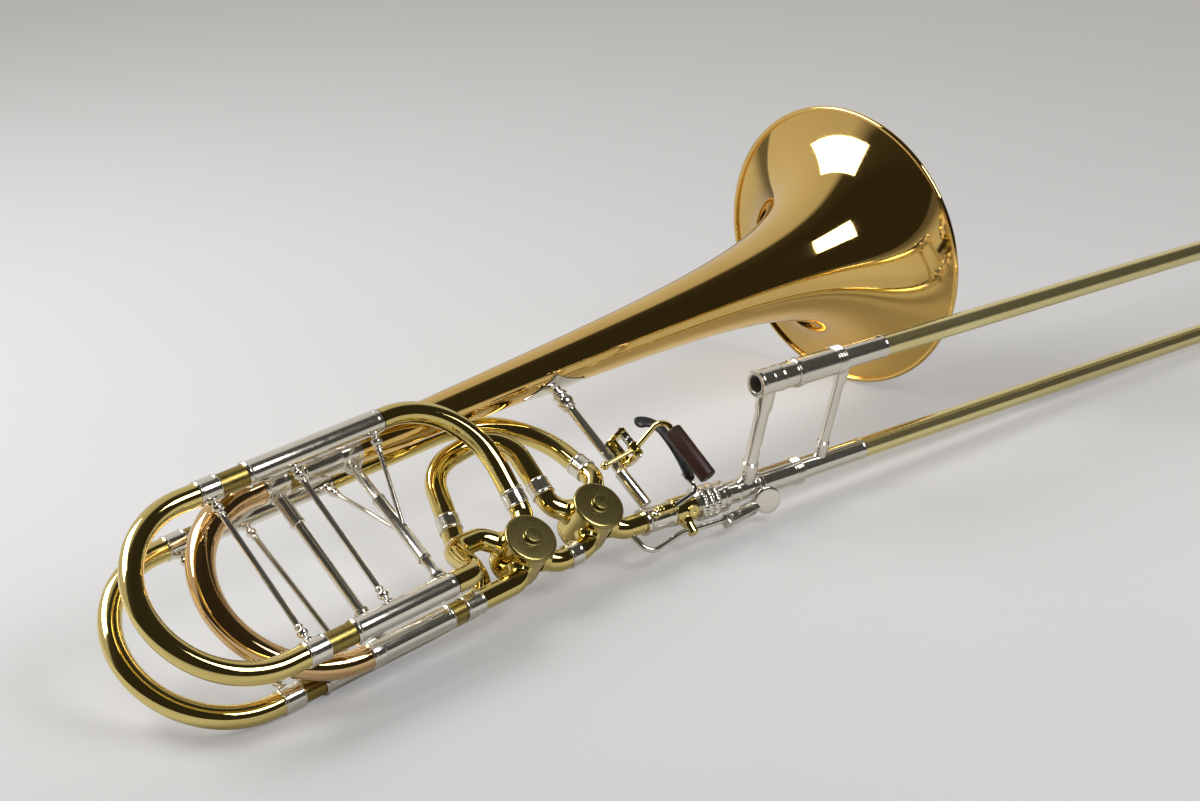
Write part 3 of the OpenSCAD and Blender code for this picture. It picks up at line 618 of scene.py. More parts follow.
def outer_legs():
    """The fixed outer legs of both valve slides, each pair with its thin brace."""
    s = Shape()
    leg_sleeve(s, BU, -641, -540)
    leg_sleeve(s, BL, -641, -546)
    thin_brace(s, at(-613, BU), at(-613, BL), SLEEVE_R - 0.4)
    piece("valve1_leg_sleeves", s, "bell_section", "nickel_silver", ["valve1_outer_legs"])
    s = Shape()
    leg_sleeve(s, TA, -627, -516)
    leg_sleeve(s, TB, -627, -544)
    thin_brace(s, at(-592, TA), at(-592, TB), SLEEVE_R - 0.4)
    piece("valve2_leg_sleeves", s, "bell_section", "nickel_silver", ["valve2_outer_legs"])


# ---------------------------------------------------------------- rotary valves
def valve(number, v):
    """One rotary valve: casing with four flared ports, turned front cap and back plate."""
    tag = f"valve{number}"
    casing = Shape()
    h = CASE_HALF
    lip = CASE_R + 0.3
    wall = [(-h - 0.4, lip), (-h + 1.2, lip), (-h + 1.6, 17.9), (h - 1.6, 17.9), (h - 1.2, lip), (h, lip)]
    casing.lathe(eased(hollow(wall, 16.05), 0.25), v, Z, 96)
    for a in (45, 135, 225, 315):
        d = np.array([math.cos(math.radians(a)), math.sin(math.radians(a)), 0])
        skirt = hollow([(15.8, 9.8), (17.2, 9.3), (18.6, 8.5), (20.2, 8.0)], TUBE_R - 0.7)
        casing.lathe(eased(skirt, 0.3), v, d, 48)
    piece(f"{tag}_body", casing, "bell_section", "yellow_brass", [f"{tag}_casing"])

    face = [(0, 0), (0, 18.5), (0.5, 18.8), (1.9, 18.8), (2.6, 18.3), (3.0, 17.3), (3.05, 8.0), (3.0, 6.3),
            (3.4, 5.9), (6.8, 5.8), (7.15, 5.4), (7.2, 0)]
    cap = Shape().lathe(eased(face, 0.25), v + Z * CASE_HALF, Z, 96)
    piece(f"{tag}_cover", cap, "bell_section", "valve_cap_brass", [f"{tag}_cap"])

    back = [(-3.0, 3.1), (-3.0, 17.4), (-2.5, 18.0), (-0.8, 18.0), (0, 18.2), (0, 3.1)]
    plate = Shape().lathe(eased(back, 0.3), v - Z * CASE_HALF, Z, 96)
    piece(f"{tag}_back_plate", plate, "bell_section", "valve_cap_brass", [f"{tag}_bearing_plate"])


DIAG = math.sqrt(0.5)


def port(v, sx, sy):
    """Where a tube meets the casing at v, on the diagonal that sx and sy give."""
    return v + np.array([sx, sy, 0]) * DIAG * (CASE_R - 1.4)


def valve_tubing():
    """The fixed tubes between the valves, their slides, the neck and the receiver, with their ferrules."""
    up1 = V1 + np.array([26, 34, 0])
    up2 = V2 + np.array([20, 34, 0])
    link_a, link_b = np.array([V1[0] - 18, NECK_Y, 0]), np.array([V2[0] + 18, NECK_Y, 0])
    link = [port(V1, -1, -1), link_a, link_b, port(V2, 1, -1)]
    neck = [port(V2, -1, -1), np.array([V2[0] - 18, NECK_Y, 0]), np.array([-526, NECK_Y, 0])]
    knuckle = [port(V1, 1, -1), KNUCKLE, KNUCKLE + 22 * SLIDE_DIR]
    long_run = [port(V1, 1, 1), up1 - 8 * Y, at(up1[0], BU), at(-539, BU)]
    large = [port(V2, 1, 1), up2 - 8 * Y, at(up2[0], TA), at(-515, TA)]
    small = [port(V2, -1, 1), V2 + np.array([-22, 22, 0]), np.array([-514.0, -98, 2]),
             at(-522, TB), at(-543, TB)]
    loop = [port(V1, -1, 1), V1 + np.array([-21, 21, 0]), np.array([-411.0, -27, -3]),
            np.array([-470.0, -27, -22]), np.array([-492.0, -92, -22]), at(-492, BL), at(-545, BL)]
    runs = (
        ("valve_link_tube", link, [0, 15, 15, 0]),
        ("neckpipe", neck, [0, 15, 0]),
        ("receiver_knuckle", knuckle, [0, 12, 0]),
        ("valve1_long_tube", long_run, [0, 14, 68, 0]),
        ("valve2_large_bend", large, [0, 12, 64, 0]),
        ("valve2_small_bend", small, [0, 14, 13, 13, 0]),
        ("valve1_loop_tube", loop, [0, 12, 27, 27, 20, 24, 0]),
    )
    for name, corners, radii in runs:
        tube = Shape().sweep(filleted(corners, radii), TUBE_R, 52)
        piece(f"{name}_run", tube, "bell_section", "yellow_brass", [name])
    f = Shape()
    bands = ((long_run, 13.8, 12.4), (large, 11.5, 12.5), (link, 14.5, 11.0), (loop, 15.0, 12.5))
    for corners, along, length in bands:
        way = unit(corners[2] - corners[1])
        ferrule(f, corners[1] + way * along, way, length)
    way = unit(loop[4] - loop[3])
    ferrule(f, loop[3] + way * 47, way, 12)
    piece("valve_tube_ferrules", f, "bell_section", "nickel_silver", ["valve_ferrules"])


# ---------------------------------------------------------------- braces of the bell section
def bell_flange(shape, x, half_long, half_wide, lift, thick):
    """Diamond plate with hollowed edges, hugging the underside of the bell."""
    rows, cols = 28, 16
    top, low = [], []
    for i in range(rows + 1):
        w = -1 + 2 * i / rows
        reach = half_wide * (0.06 + 0.94 * (1 - abs(w)) ** 1.35)
        for side, height in ((top, lift + thick), (low, lift)):
            row = []
            for j in range(cols + 1):
                y = reach * (-1 + 2 * j / cols)
                px = x + w * half_long
                r = flare(-px) + height
                a = y / r
                row.append((px, -r * math.cos(a), r * math.sin(a)))
            side.append(row)
    points = [p for row in top for p in row] + [p for row in low for p in row]
    n = (rows + 1) * (cols + 1)
    faces = []
    for i in range(rows):
        for j in range(cols):
            a = i * (cols + 1) + j
            b, c, d = a + 1, a + cols + 2, a + cols + 1
            faces.append((a, b, c, d))
            faces.append((n + a, n + d, n + c, n + b))
    edge = list(range(cols + 1))
    edge += [i * (cols + 1) + cols for i in range(1, rows + 1)]
    edge += [rows * (cols + 1) + j for j in range(cols - 1, -1, -1)]
    edge += [i * (cols + 1) for i in range(rows - 1, 0, -1)]
    for k, e in enumerate(edge):
        f = edge[(k + 1) % len(edge)]
        faces.append((e, n + e, n + f, f))
    return shape.add(points, faces)


def bell_post():
    """Turned post from the bell to the receiver, on its diamond flange."""
    x = -351.0
    s = Shape()
    bell_flange(s, x, 30, 13, 0.05, 0.9)
    start = flare(-x) - 0.5
    turned = [
        (0, 0), (0, 6.8), (0.8, 5.6), (2.2, 4.4), (4.2, 4.1), (5.6, 4.6), (6.4, 5.6), (7.6, 6.2), (8.9, 5.7),
        (9.6, 4.6), (10.2, 5.2), (12.6, 6.3), (14.4, 6.5), (16.4, 6.1), (18.2, 4.9), (19, 5.5), (20, 5.5),
        (20.6, 4.2), (22, 3.65),
    ]
    outline = [(start + along, r) for along, r in turned]
    outline += [(98, 3.6), (98.2, 4.8), (99.4, 5.05), (101, 4.8), (129.6, 4.8), (129.6, 0)]
    s.lathe(eased(outline, 0.4), (x, 0, 0), -Y, 56)
    piece("bell_brace_post", s, "bell_section", "nickel_silver", ["bell_brace"])


def rear_braces():
    """The stepped brace behind the bell's end, with a thin rod from each outer leg that meets it."""
    p, q = np.array([-536.0, 0, 0]), at(-549, TB)
    meeting = p + 0.62 * (q - p)
    length = np.linalg.norm(q - p)
    s = Shape()
    steps = [(0, 6.4), (14.5, 5.4), (16, 3.5), (length * 0.35, 4.8), (length * 0.35 + 1.6, 4.4)]
    steps += [(length * 0.8 - 1.6, 4.8), (length * 0.8, 3.5), (length - 12, 5.6)]
    stepped_rod(s, p, q, steps, 8.0)
    for foot, yz in ((-522, TA), (-546, BU)):
        a = at(foot, yz)
        d = unit(meeting - a)
        span = np.linalg.norm(meeting - a)
        knobbed_end(s, a, d, SLEEVE_R - 0.4)
        s.lathe([(18, 0), (18, 1.7), (span, 1.7), (span, 0)], a, d, 32)
        knot = [(span - 7, 0), (span - 7, 2.7), (span - 1, 3.0), (span + 2, 2.4), (span + 2, 0)]
        s.lathe(eased(knot, 0.5), a, d, 32)
    piece("rear_brace_set", s, "bell_section", "nickel_silver", ["rear_brace"])


# ---------------------------------------------------------------- receiver and finger rest
REST = [(-378, NECK_Y - 7, -1), (-376.5, -163.5, 0), (-342, -160.3, 0), (-290, -168, 0)]


def receiver():
    """Socket on the bell section that takes the hand slide."""
    outline = [(17, 10.0)] + bead(17, 20.4, 9.5, 0.55)
    outline += [(21, 9.2), (24, 9.2), (24.4, 9.0), (25, 9.0), (25.4, 9.2), (39.6, 9.2)]
    outline += bead(40, 43, 9.4, 0.5) + [(43.6, 9.2), (70, 9.2)]
    tube = Shape().lathe(eased(hollow(outline, 7.9), 0.2), (0, 0, 0), X)
    piece("slide_receiver_tube", tube, "bell_section", "nickel_silver", ["slide_receiver"], SLIDE)


def lock_nut():
    """Nut with three knurled beads and a lip, round the joint of the receiver and the slide."""
    knurls, knurl_depth, bore = 40, 0.22, 9.4
    outline = [
        (66, 11.2), (67.2, 12.4), (68.8, 12.8), (70.2, 12.4), (71.4, 11.2), (72.8, 12.3), (74.6, 12.8),
        (76.2, 12.3), (77.4, 11.2), (78.8, 12.3), (80.6, 12.8), (82.2, 12.3), (83.4, 11.0), (88, 11.0),
        (88.6, 12.0), (91.6, 12.0), (92, 11.6),
    ]
    turn = np.linspace(0, 2 * math.pi, 120, endpoint=False)
    rows = []
    for x, r in outline + [(92, bore), (66, bore)]:
        radius = r + knurl_depth * np.cos(turn * knurls) * (r > 12.2)
        rows.append(np.stack([np.full(len(turn), float(x)), radius * np.cos(turn), radius * np.sin(turn)], 1))
    ring = Shape().rings(rows, closed_along=True)
    piece("lock_ring", ring, "lock_nut", "nickel_silver", ["lock_nut"], SLIDE)


def rest_saddle():
    """Brass band on the receiver, with the lug that holds the finger rest's rod and a set screw."""
    s = Shape()
    band = [(44, 9.9), (44.4, 10.2), (62.6, 10.2), (63, 9.9)]
    s.lathe(eased(hollow(band, 9.15), 0.15), (0, 0, 0), X)
    lug = [(8, 0), (8, 6.2), (10.4, 5.4), (12.6, 4.3), (15, 4.0), (20.4, 4.0), (21.4, 3.2), (21.6, 0)]
    s.lathe(eased(lug, 0.5), (53, 0, 0), (0, -18.9, -10.3), 48)
    head = [(7.6, 0), (7.6, 4.6), (10.8, 4.6), (11.2, 4.2), (11.2, 1.6), (10.6, 1.3), (10.6, 0)]
    s.lathe(eased(head, 0.3), (57, 0, 0), (0, -10.4, 3.9), 40)
    piece("rest_saddle_band", s, "bell_section", "yellow_brass", ["rest_saddle"], SLIDE)


def finger_rest():
    """The rest's bent rod, the block that clamps it with two screws, and the disc for the finger."""
    rod = Shape().sweep(filleted(REST, [0, 9, 30, 0], math.radians(6)), BRACE_R, 32)
    piece("finger_rest_stem", rod, "bell_section", "nickel_silver", ["finger_rest_rod"])

    s = Shape()
    add_block(s, (-302, -172.4, -4.4), (34, 8.8, 8.8), 1.1)
    for x in (-297, -289):
        head = eased([(0, 0), (0, 1.9), (1.4, 1.9), (1.4, 1.1), (0.7, 0.9), (0.7, 0)], 0.2)
        s.lathe(head, (x, -168, 4.2), Z, 32)
    piece("finger_rest_clamp", s, "bell_section", "nickel_silver", ["finger_rest_block"])

    faces = unit([-0.38, -0.65, 0.65])
    centre = np.array([-260.0, -170.0, 6.0])
    s = Shape()
    disc = [(-1.3, 0), (-1.2, 8.0), (-1.1, 9.9), (-0.5, 10.5), (0.5, 10.5), (1.1, 9.9), (1.35, 8.0), (1.5, 0)]
    s.lathe(eased(disc, 0.3), centre, faces, 64)
    s.sweep(spaced([(-268, -168, 0), (-265, -168.5, 1.5), centre - faces]), 2.0, 24)
    piece("finger_rest_plate", s, "bell_section", "nickel_silver", ["finger_rest_disc"])


def add_block(shape, low, size, round_by):
    """Block with rounded edges along X, from its low corner."""
    (x, y, z), (a, b, c) = low, size
    r = round_by
    ring = []
    for cy, cz, start in ((b - r, c - r, 0), (r, c - r, 90), (r, r, 180), (b - r, r, 270)):
        for k in range(5):
            w = math.radians(start + 90 * k / 4)
            ring.append((cy + r * math.cos(w), cz + r * math.sin(w)))
    rows = []
    centre = np.array([b / 2, c / 2])
    ends = ((0, 0.86), (0.35 * r, 0.95), (r, 1.0))
    for along, pull in ends + tuple((a - e, p) for e, p in reversed(ends)):
        section = centre + (np.array(ring) - centre) * pull
        rows.append(np.array([(x + along, y + p, z + q) for p, q in section]))
    return shape.rings(rows)


# ---------------------------------------------------------------- hand slide
def barrel(shape, x0, x1, z):
    """Cork barrel from x0 to x1 on the tube at height z, with three beads at its open end."""
    outline = [(x0, 9.6), (x0 + 0.6, 10.9), (x0 + 4.4, 11.1), (x0 + 5.2, 10.25), (x1 - 8.4, 10.25)]
    for x in (x1 - 8, x1 - 5.3, x1 - 2.6):
        outline += bead(x, x + 2.2, 10.1, 1.25)
    outline += [(x1, 10.4), (x1, 9.3), (x0 + 6, 9.3), (x0 + 6, 7.4), (x0, 7.4)]
    return shape.lathe(eased(outline, 0.2), (0, 0, z), X)


def slide_fittings():
    """The still part of the hand slide: socket, mouthpiece receiver, cork barrels and left-hand brace."""
    s = Shape()
    socket = [(74, 9.0)] + bead(74.4, 77.4, 9.0, 0.5) + [(78, 9.0), (95.4, 9.0), (95.8, 8.6), (103, 8.6)]
    socket += bead(103.4, 106, 8.6, 0.5) + [(106.6, 8.6), (122.5, 8.6)]
    s.lathe(eased(hollow(socket, 7.35), 0.25), (0, 0, 0), X)
    barrel(s, 122, 168, 0)
    mouth = [(106.5, 9.7)] + bead(106.6, 110.4, 9.6, 1.0)
    mouth += [(111, 9.6), (117.6, 9.6), (118, 9.4), (118.8, 9.4), (119.2, 9.6), (127, 9.6)]
    mouth += bead(127.4, 129.8, 9.6, 0.45) + [(130.4, 9.6), (142.6, 9.6)]
    s.lathe(eased(hollow(mouth, 6.4), 0.25), (0, 0, UPPER), X)
    barrel(s, 142, 190, UPPER)
    piece("slide_barrels", s, "bell_section", "nickel_silver", ["slide_inner_fittings"], SLIDE)

    p, q = np.array([115.0, 0, 0]), np.array([120.0, 0, UPPER])
    length = np.linalg.norm(q - p)
    steps = [(0, 6.4), (22, 5.9), (23.2, 5.2), (length - 24, 6.1), (length - 22.6, 6.4)]
    stay = stepped_rod(Shape(), p, q, steps, 6.5)
    piece("slide_inner_stay", stay, "bell_section", "nickel_silver", ["slide_inner_brace"], SLIDE)


def outer_slide():
    """The moving part of the hand slide: two tubes, their bands, the right-hand brace and the end bow."""
    tubes, bands = Shape(), Shape()
    for z, start in ((0, 150.0), (UPPER, 172.0)):
        tube = hollow([(start, OUTER_R), (REACH, OUTER_R)], OUTER_R - 0.33)
        tubes.lathe(tube, (0, 0, z), X, 64)
        sleeve = [(start + 2, BAND_R), (231.6, BAND_R)] + bead(231.8, 234, BAND_R, 0.35)
        bands.lathe(eased(hollow(sleeve, OUTER_R + 0.01), 0.15), (0, 0, z), X, 64)
        tail = bead(REACH - 16, REACH - 14, BAND_R, 0.3) + [(REACH - 13.6, BAND_R), (REACH - 0.3, BAND_R)]
        bands.lathe(eased(hollow(tail, OUTER_R + 0.01), 0.15), (0, 0, z), X, 64)
    piece("slide_outer_pair", tubes, "hand_slide", "slide_brass", ["slide_outer_tubes"], SLIDE)
    piece("slide_sleeve_bands", bands, "hand_slide", "nickel_silver", ["slide_outer_sleeves"], SLIDE)

    p, q = np.array([189.0, 0, 0]), np.array([196.0, 0, UPPER])
    length = np.linalg.norm(q - p)
    steps = [(0, 5.0), (19, 4.7), (20.2, 3.9), (length - 21, 4.8), (length - 19.8, 5.0)]
    stay = stepped_rod(Shape(), p, q, steps, 7.4)
    piece("slide_outer_stay", stay, "hand_slide", "nickel_silver", ["slide_outer_brace"], SLIDE)

    ends = np.array([REACH, 0, 0]), np.array([REACH, 0, UPPER])
    bow = Shape().sweep(half_circle(*ends, X), OUTER_R, 48)
    collar = hollow([(REACH - 0.2, BAND_R), (REACH + 1.6, BAND_R), (REACH + 2.0, 8.1)], OUTER_R)
    for z in (0, UPPER):
        bow.lathe(eased(collar, 0.15), (0, 0, z), X, 64)
    piece("slide_end_bow", bow, "hand_slide", "yellow_brass", ["slide_crook"], SLIDE)


# ---------------------------------------------------------------- thumb levers
HINGE1 = np.array([-340.0, -93.0, 16.0])
LEVER1 = [HINGE1, np.array([-321.0, -88.5, 39.5]), np.array([-321.5, -145.0, 38.0])]
HINGE2 = np.array([0.0, -7.0, 11.5])  # in the slide space
LEVER2 = [(-342.3, -144.75, 14.5), (-317, -142, 16.4), (-319.5, -126, 17.2)]
PADDLE_Z = 20.95


def plate_along_y(shape, outline, y0, y1):
    """Flat plate with the outline given as (x, z) points, from y0 to y1, its edges lightly rounded."""
    flat = np.array(outline, float)
    middle = flat.mean(axis=0)
    rows = []
    for y, pull in ((y0, 0.94), (y0 + 0.3, 1.0), (y1 - 0.3, 1.0), (y1, 0.94)):
        drawn = middle + (flat - middle) * pull
        rows.append(np.stack([drawn[:, 0], np.full(len(drawn), y), drawn[:, 1]], 1))
    return shape.rings(rows)


def ball(r, steps=14):
    """Outline of a ball of radius r."""
    inside = [math.pi * k / steps for k in range(1, steps)]
    return [(-r, 0)] + [(-r * math.cos(a), r * math.sin(a)) for a in inside] + [(r, 0)]


def lever1():
    """Bent brass lever with a ball behind, its clasp and hub on the hinge, and the dark thumb roller."""
    s = Shape().sweep(filleted(LEVER1, [0, 8, 0], math.radians(6)), BRACE_R, 32)
    back = HINGE1 + np.array([-28, 0, -5])
    s.sweep(spaced([HINGE1, back]), 1.7, 24)
    s.lathe(ball(3.2), back, X, 32)
    clasp = [(-2.6, 0), (-2.6, 3.4), (-2.0, 3.9), (4.0, 3.9), (4.6, 3.4), (4.6, 0)]
    s.lathe(eased(clasp, 0.3), HINGE1, Y, 40)
    piece("lever1_arm", s, "thumb_lever_1", "yellow_brass", ["lever1_wire"])

    hub = [(-7.5, 0), (-7.5, 1.4), (-3, 1.5), (4.4, 1.5), (4.4, 3.2), (8.6, 3.2), (8.9, 2.9), (9.5, 2.9)]
    hub += [(9.8, 3.2), (14.6, 3.2), (14.6, 1.5), (19.5, 1.5), (19.5, 0)]
    pin = Shape().lathe(eased(hub, 0.2), HINGE1, Y, 40)
    piece("lever1_hub", pin, "thumb_lever_1", "slide_chrome")

    way = LEVER1[2] - LEVER1[1]
    end = np.linalg.norm(way) - 0.5
    roll = [(12, 2.2), (12, 5.6), (12.6, 6.4), (13.6, 6.6)]
    roll += [(end - 1.6, 6.6), (end - 0.6, 6.4), (end, 5.6), (end, 2.2)]
    roller = Shape().lathe(eased(roll, 0.4), LEVER1[1], way, 56)
    piece("lever1_thumb_roller", roller, "thumb_lever_1", "roller_wood", ["lever1_roller"])


def lever1_bracket():
    """Base plate on the bell brace with two rounded ears for the hinge pin."""
    ear_r, floor_z = 3.4, 3.2
    s = Shape()
    add_block(s, (-349, -99, floor_z), (9, 24, 2.8), 0.8)
    crown = [math.radians(a) for a in range(160, -21, -15)]
    ear = [(-349, floor_z), (-349, 8.4), (-346.6, 9.4)]
    ear += [(HINGE1[0] + ear_r * math.cos(a), HINGE1[2] + ear_r * math.sin(a)) for a in crown]
    ear += [(-336.9, 6.6), (-340, floor_z)]
    for y in (-99, -78):
        plate_along_y(s, ear[::-1], y, y + 3)
    piece("lever1_hinge_plate", s, "bell_section", "yellow_brass", ["lever1_bracket"])


def lever2_hinge():
    """Two brass knuckles on posts, with the lever's hub between them."""
    s = Shape()
    for x in (24.0, 36.4):
        knuckle = [(x, 1.7), (x, 3.4), (x + 0.4, 3.9), (x + 2.6, 3.9), (x + 3, 3.4), (x + 3, 1.7)]
        s.lathe(eased(knuckle, 0.2), HINGE2, X, 40)
        post = [(8.6, 0), (8.6, 3.4), (9.6, 2.6), (10.6, 1.5), (12.5, 1.4), (12.5, 0)]
        s.lathe(eased(post, 0.3), (x + 1.5, 0, 0), HINGE2, 32)
    piece("lever2_hinge_ears", s, "bell_section", "yellow_brass", ["lever2_hinge_barrel"], SLIDE)
    outline = [(27.3, 0), (27.3, 3.5), (27.7, 3.8), (35.7, 3.8), (36.1, 3.5), (36.1, 0)]
    hub = Shape().lathe(eased(outline, 0.2), HINGE2, X, 40)
    piece("lever2_hub", hub, "thumb_lever_2", "yellow_brass", room=SLIDE)


def lever2():
    """Silver rod and hinge pin, and the black paddle that follows two arcs round the thumb."""
    s = Shape().sweep(filleted(LEVER2, [0, 6, 0], math.radians(6)), 1.9, 28)
    a, b = slide_point(22.5, *HINGE2[1:]), slide_point(42.0, *HINGE2[1:])
    pin = np.linalg.norm(b - a)
    s.lathe(eased([(0, 0), (0, 1.5), (pin, 1.5), (pin, 0)], 0.2), a, b - a, 28)
    piece("lever2_rod", s, "thumb_lever_2", "slide_chrome", ["lever2_wire"])

    tip = [(-327, 14.5, a) for a in range(80, -1, -5)]
    back = [(-423.7, 111.2, -20.6 * k / 12) for k in range(1, 13)]
    path = []
    for x, r, degrees in tip + back:
        a = math.radians(degrees)
        path.append((x + r * math.cos(a), -92 + r * math.sin(a), PADDLE_Z))
    width = [4.9, 4.9, 4.8, 4.7, 4.6, 4.5] + [4.4] * (len(path) - 6)
    blade = Shape().sweep(path, width, 36, 0.39, up=Y, ends="round")
    piece("lever2_thumb_paddle", blade, "thumb_lever_2", "paddle_black", ["lever2_paddle"])


def end_bumper():
    """Rubber foot on the end bow of the slide."""
    dome = [(0, 0), (0, 5.2), (2.1, 5.5), (6.5, 5.4), (9.1, 4.6), (10.3, 2.8), (10.4, 0)]
    start = REACH + UPPER / 2 + 5.5
    bumper = Shape().lathe(eased(dome, 0.8), (start, 0, UPPER / 2), X, 48)
    piece("crook_rubber_foot", bumper, "hand_slide", "rubber_black", ["crook_bumper"], SLIDE)


def dress_cad_nodes():
    """Puts the finished materials on the CAD nodes, for those that stay in view."""
    slots = {s["node"]: s["material_slot"] for s in frame["record"]["subparts"]}
    for name, obj in frame["nodes"].items():
        for index in range(len(obj.material_slots)):
            obj.material_slots[index].material = MATERIALS[slots[name]]


# ---------------------------------------------------------------- studio
CAMERA_AT = Vector((-1.157, -0.972, 0.670))
CAMERA_LOOK = Vector((0.6439, 0.6609, -0.3856))
CAMERA_UP = Vector((0.2872, 0.2583, 0.9224))
LENS = 61.09


def camera():
    """Camera where the picture was taken from, with depth of field off."""
    data = bpy.data.cameras.new("camera")
    data.lens = LENS
    data.sensor_width = 36.0
    data.clip_end = 60.0
    obj = bpy.data.objects.new("camera", data)
    bpy.context.scene.collection.objects.link(obj)
    back = -CAMERA_LOOK.normalized()
    right = CAMERA_UP.cross(back).normalized()
    turn = Matrix((right, back.cross(right), back)).transposed()
    obj.matrix_world = Matrix.Translation(CAMERA_AT) @ turn.to_4x4()
    bpy.context.scene.camera = obj


def softbox(name, azimuth, elevation, distance, width, height, power):
    """Rectangular light facing the middle of the instrument from a direction given in degrees."""
    data = bpy.data.lights.new(name, "AREA")
    data.shape = "RECTANGLE"
    data.size, data.size_y = width, height
    data.energy = power
    obj = bpy.data.objects.new(name, data)
    bpy.context.scene.collection.objects.link(obj)
    a, e = math.radians(azimuth), math.radians(elevation)
    way = Vector((math.cos(a) * math.cos(e), math.sin(a) * math.cos(e), math.sin(e)))
    obj.location = Vector((0.0, 0.05, 0.15)) + way * distance
    obj.rotation_mode = "QUATERNION"
    obj.rotation_quaternion = way.to_track_quat("Z", "Y")


def painted_glow_for_camera(tree, shader, share, tone):
    """Painted light: blends a flat emitted tone into what the camera sees of the paper, a glow that stands in for
    wide soft studio light.
    """
    flat = tree.nodes.new("ShaderNodeEmission")
    flat.inputs["Color"].default_value = (*tone, 1.0)
    rays = tree.nodes.new("ShaderNodeLightPath")
    amount = tree.nodes.new("ShaderNodeMath")
    amount.operation = "MULTIPLY"
    amount.inputs[1].default_value = share
    tree.links.new(rays.outputs["Is Camera Ray"], amount.inputs[0])
    mix = tree.nodes.new("ShaderNodeMixShader")
    tree.links.new(amount.outputs["Value"], mix.inputs["Fac"])
    tree.links.new(shader.outputs["BSDF"], mix.inputs[1])
    tree.links.new(flat.outputs["Emission"], mix.inputs[2])
    tree.links.new(mix.outputs["Shader"], tree.nodes["Material Output"].inputs["Surface"])


def dimmer_in_reflections(tree, colour, dim):
    """Painted shade in reflections: the paper as the metal sees it is given a dimmer colour, for it falls away
    from the light beyond the instrument.
    """
    rays = tree.nodes.new("ShaderNodeLightPath")
    mix = tree.nodes.new("ShaderNodeMix")
    mix.data_type = "RGBA"
    tree.links.new(rays.outputs["Is Glossy Ray"], mix.inputs["Factor"])
    tree.links.new(colour, mix.inputs[6])
    mix.inputs[7].default_value = (*dim, 1.0)
    return mix.outputs[2]


def floor():
    """Wide sheet of pale paper, with painted shade: its colour is a little darker on the side that the lights are
    nearest to.
    """
    mesh = bpy.data.meshes.new("floor")
    half = 9.0
    corners = [(-half, -half, 0), (half, -half, 0), (half, half, 0), (-half, half, 0)]
    mesh.from_pydata(corners, [], [(0, 1, 2, 3)])
    obj = bpy.data.objects.new("floor", mesh)
    bpy.context.scene.collection.objects.link(obj)
    mat, tree, shader, coords = new_material("paper", 0.0, 0.75)
    along = tree.nodes.new("ShaderNodeVectorMath")
    along.operation = "DOT_PRODUCT"
    along.inputs[1].default_value = (0.70, 0.714, 0.0)
    tree.links.new(coords, along.inputs[0])
    depth = tree.nodes.new("ShaderNodeMath")
    depth.operation = "ADD"
    tree.links.new(spread(tree, noise(tree, coords, 1.2, 3.0), -0.06, 0.06), depth.inputs[0])
    tree.links.new(spread(tree, along.outputs["Value"], 0.0, 1.0, -0.7, 1.5), depth.inputs[1])
    # painted shade: the paper's colour runs from dark near the lights to pale far from them, against the stronger
    # light that falls there
    painted_shade_near, far = (0.555, 0.551, 0.55), (0.89, 0.885, 0.885)
    paper = ramp(tree, depth.outputs["Value"], [(0.0, painted_shade_near), (1.0, far)])
    # painted shade: the metal's reflections see the paper in a dimmer colour
    tree.links.new(dimmer_in_reflections(tree, paper, (0.52, 0.51, 0.48)), shader.inputs["Base Color"])
    fibre = noise(tree, coords, 900.0, 4.0)
    tree.links.new(bump(tree, fibre, 0.1, 0.0002), shader.inputs["Normal"])
    # painted light: the camera sees the paper partly as a flat glow
    painted_glow_for_camera(tree, shader, 0.42, (0.575, 0.566, 0.562))
    mesh.materials.append(mat)


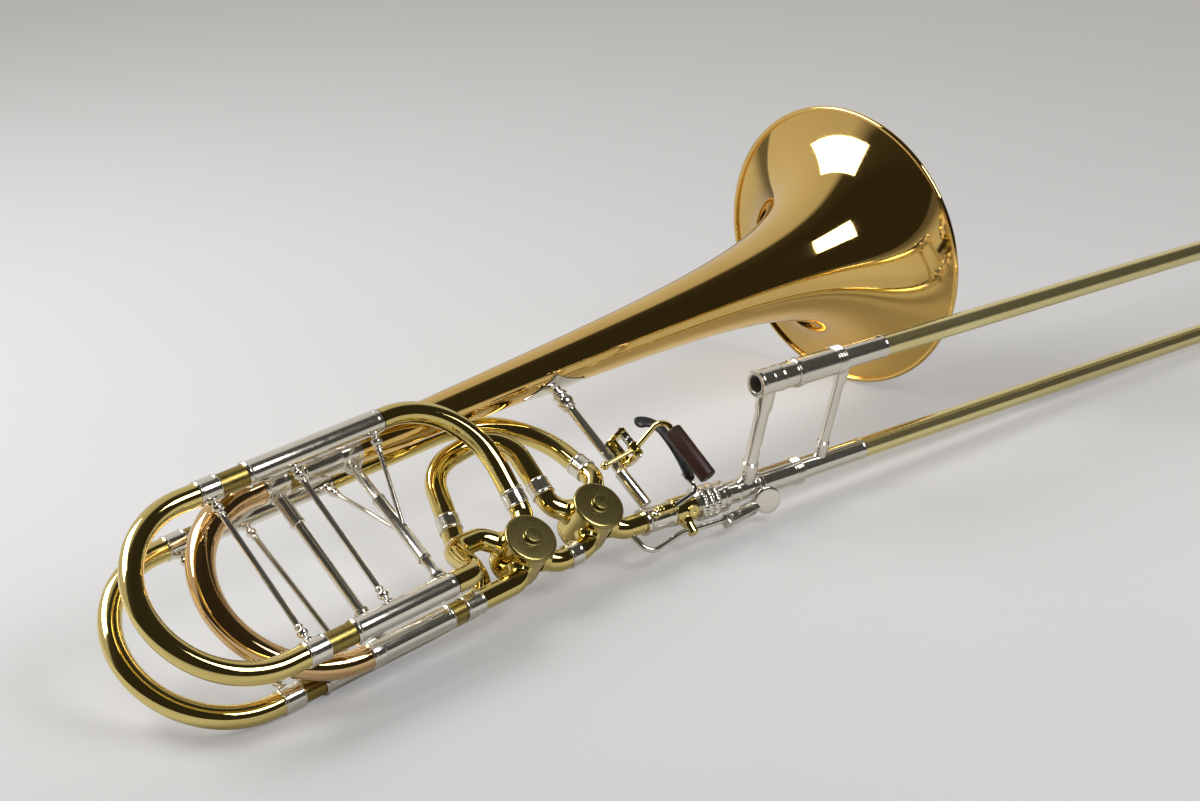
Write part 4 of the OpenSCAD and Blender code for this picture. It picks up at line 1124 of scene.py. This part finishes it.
def surroundings():
    """World light: pale paper on the far side, a dim warm room elsewhere, and pale grey to the camera."""
    world = bpy.data.worlds.new("studio")
    bpy.context.scene.world = world
    world.use_nodes = True
    tree = world.node_tree
    tree.nodes.clear()
    out = tree.nodes.new("ShaderNodeOutputWorld")
    coords = tree.nodes.new("ShaderNodeTexCoord")
    toward = tree.nodes.new("ShaderNodeVectorMath")
    toward.operation = "DOT_PRODUCT"
    toward.inputs[1].default_value = Vector((0.20, 0.97, 0.1)).normalized()
    tree.links.new(coords.outputs["Generated"], toward.inputs[0])
    room_tones = [(0.0, (0.030, 0.026, 0.018)), (0.30, (0.05, 0.045, 0.035))]
    paper_tones = [(0.42, (0.52, 0.49, 0.44)), (1.0, (0.66, 0.63, 0.58))]
    facing = spread(tree, toward.outputs["Value"], 0.0, 1.0, -0.05, 0.95)
    room = ramp(tree, facing, room_tones + paper_tones)
    seen = tree.nodes.new("ShaderNodeBackground")
    seen.inputs["Color"].default_value = (0.56, 0.55, 0.545, 1)
    lit = tree.nodes.new("ShaderNodeBackground")
    tree.links.new(room, lit.inputs["Color"])
    rays = tree.nodes.new("ShaderNodeLightPath")
    mix = tree.nodes.new("ShaderNodeMixShader")
    tree.links.new(rays.outputs["Is Camera Ray"], mix.inputs["Fac"])
    tree.links.new(lit.outputs["Background"], mix.inputs[1])
    tree.links.new(seen.outputs["Background"], mix.inputs[2])
    tree.links.new(mix.outputs["Shader"], out.inputs["Surface"])


# ---------------------------------------------------------------- everything
dress_cad_nodes()
bell_section()
main_bow()
main_fittings()
main_legs()
valve_slide(1, BU, BL, BOW_B_X, "valve1_tuning_slide", -8)
valve_slide(2, TA, TB, BOW_A_X, "valve2_tuning_slide", 0)
outer_legs()
valve(1, V1)
valve(2, V2)
valve_tubing()
bell_post()
rear_braces()
receiver()
lock_nut()
rest_saddle()
finger_rest()
slide_fittings()
outer_slide()
lever1()
lever1_bracket()
lever2_hinge()
lever2()
end_bumper()

camera()
floor()
surroundings()
softbox("softbox_right", -90, 45, 1.5, 0.76, 0.62, 14)
softbox("softbox_left", 137, 38, 1.6, 1.02, 0.82, 25)
bpy.context.scene.view_settings.view_transform = "Standard"
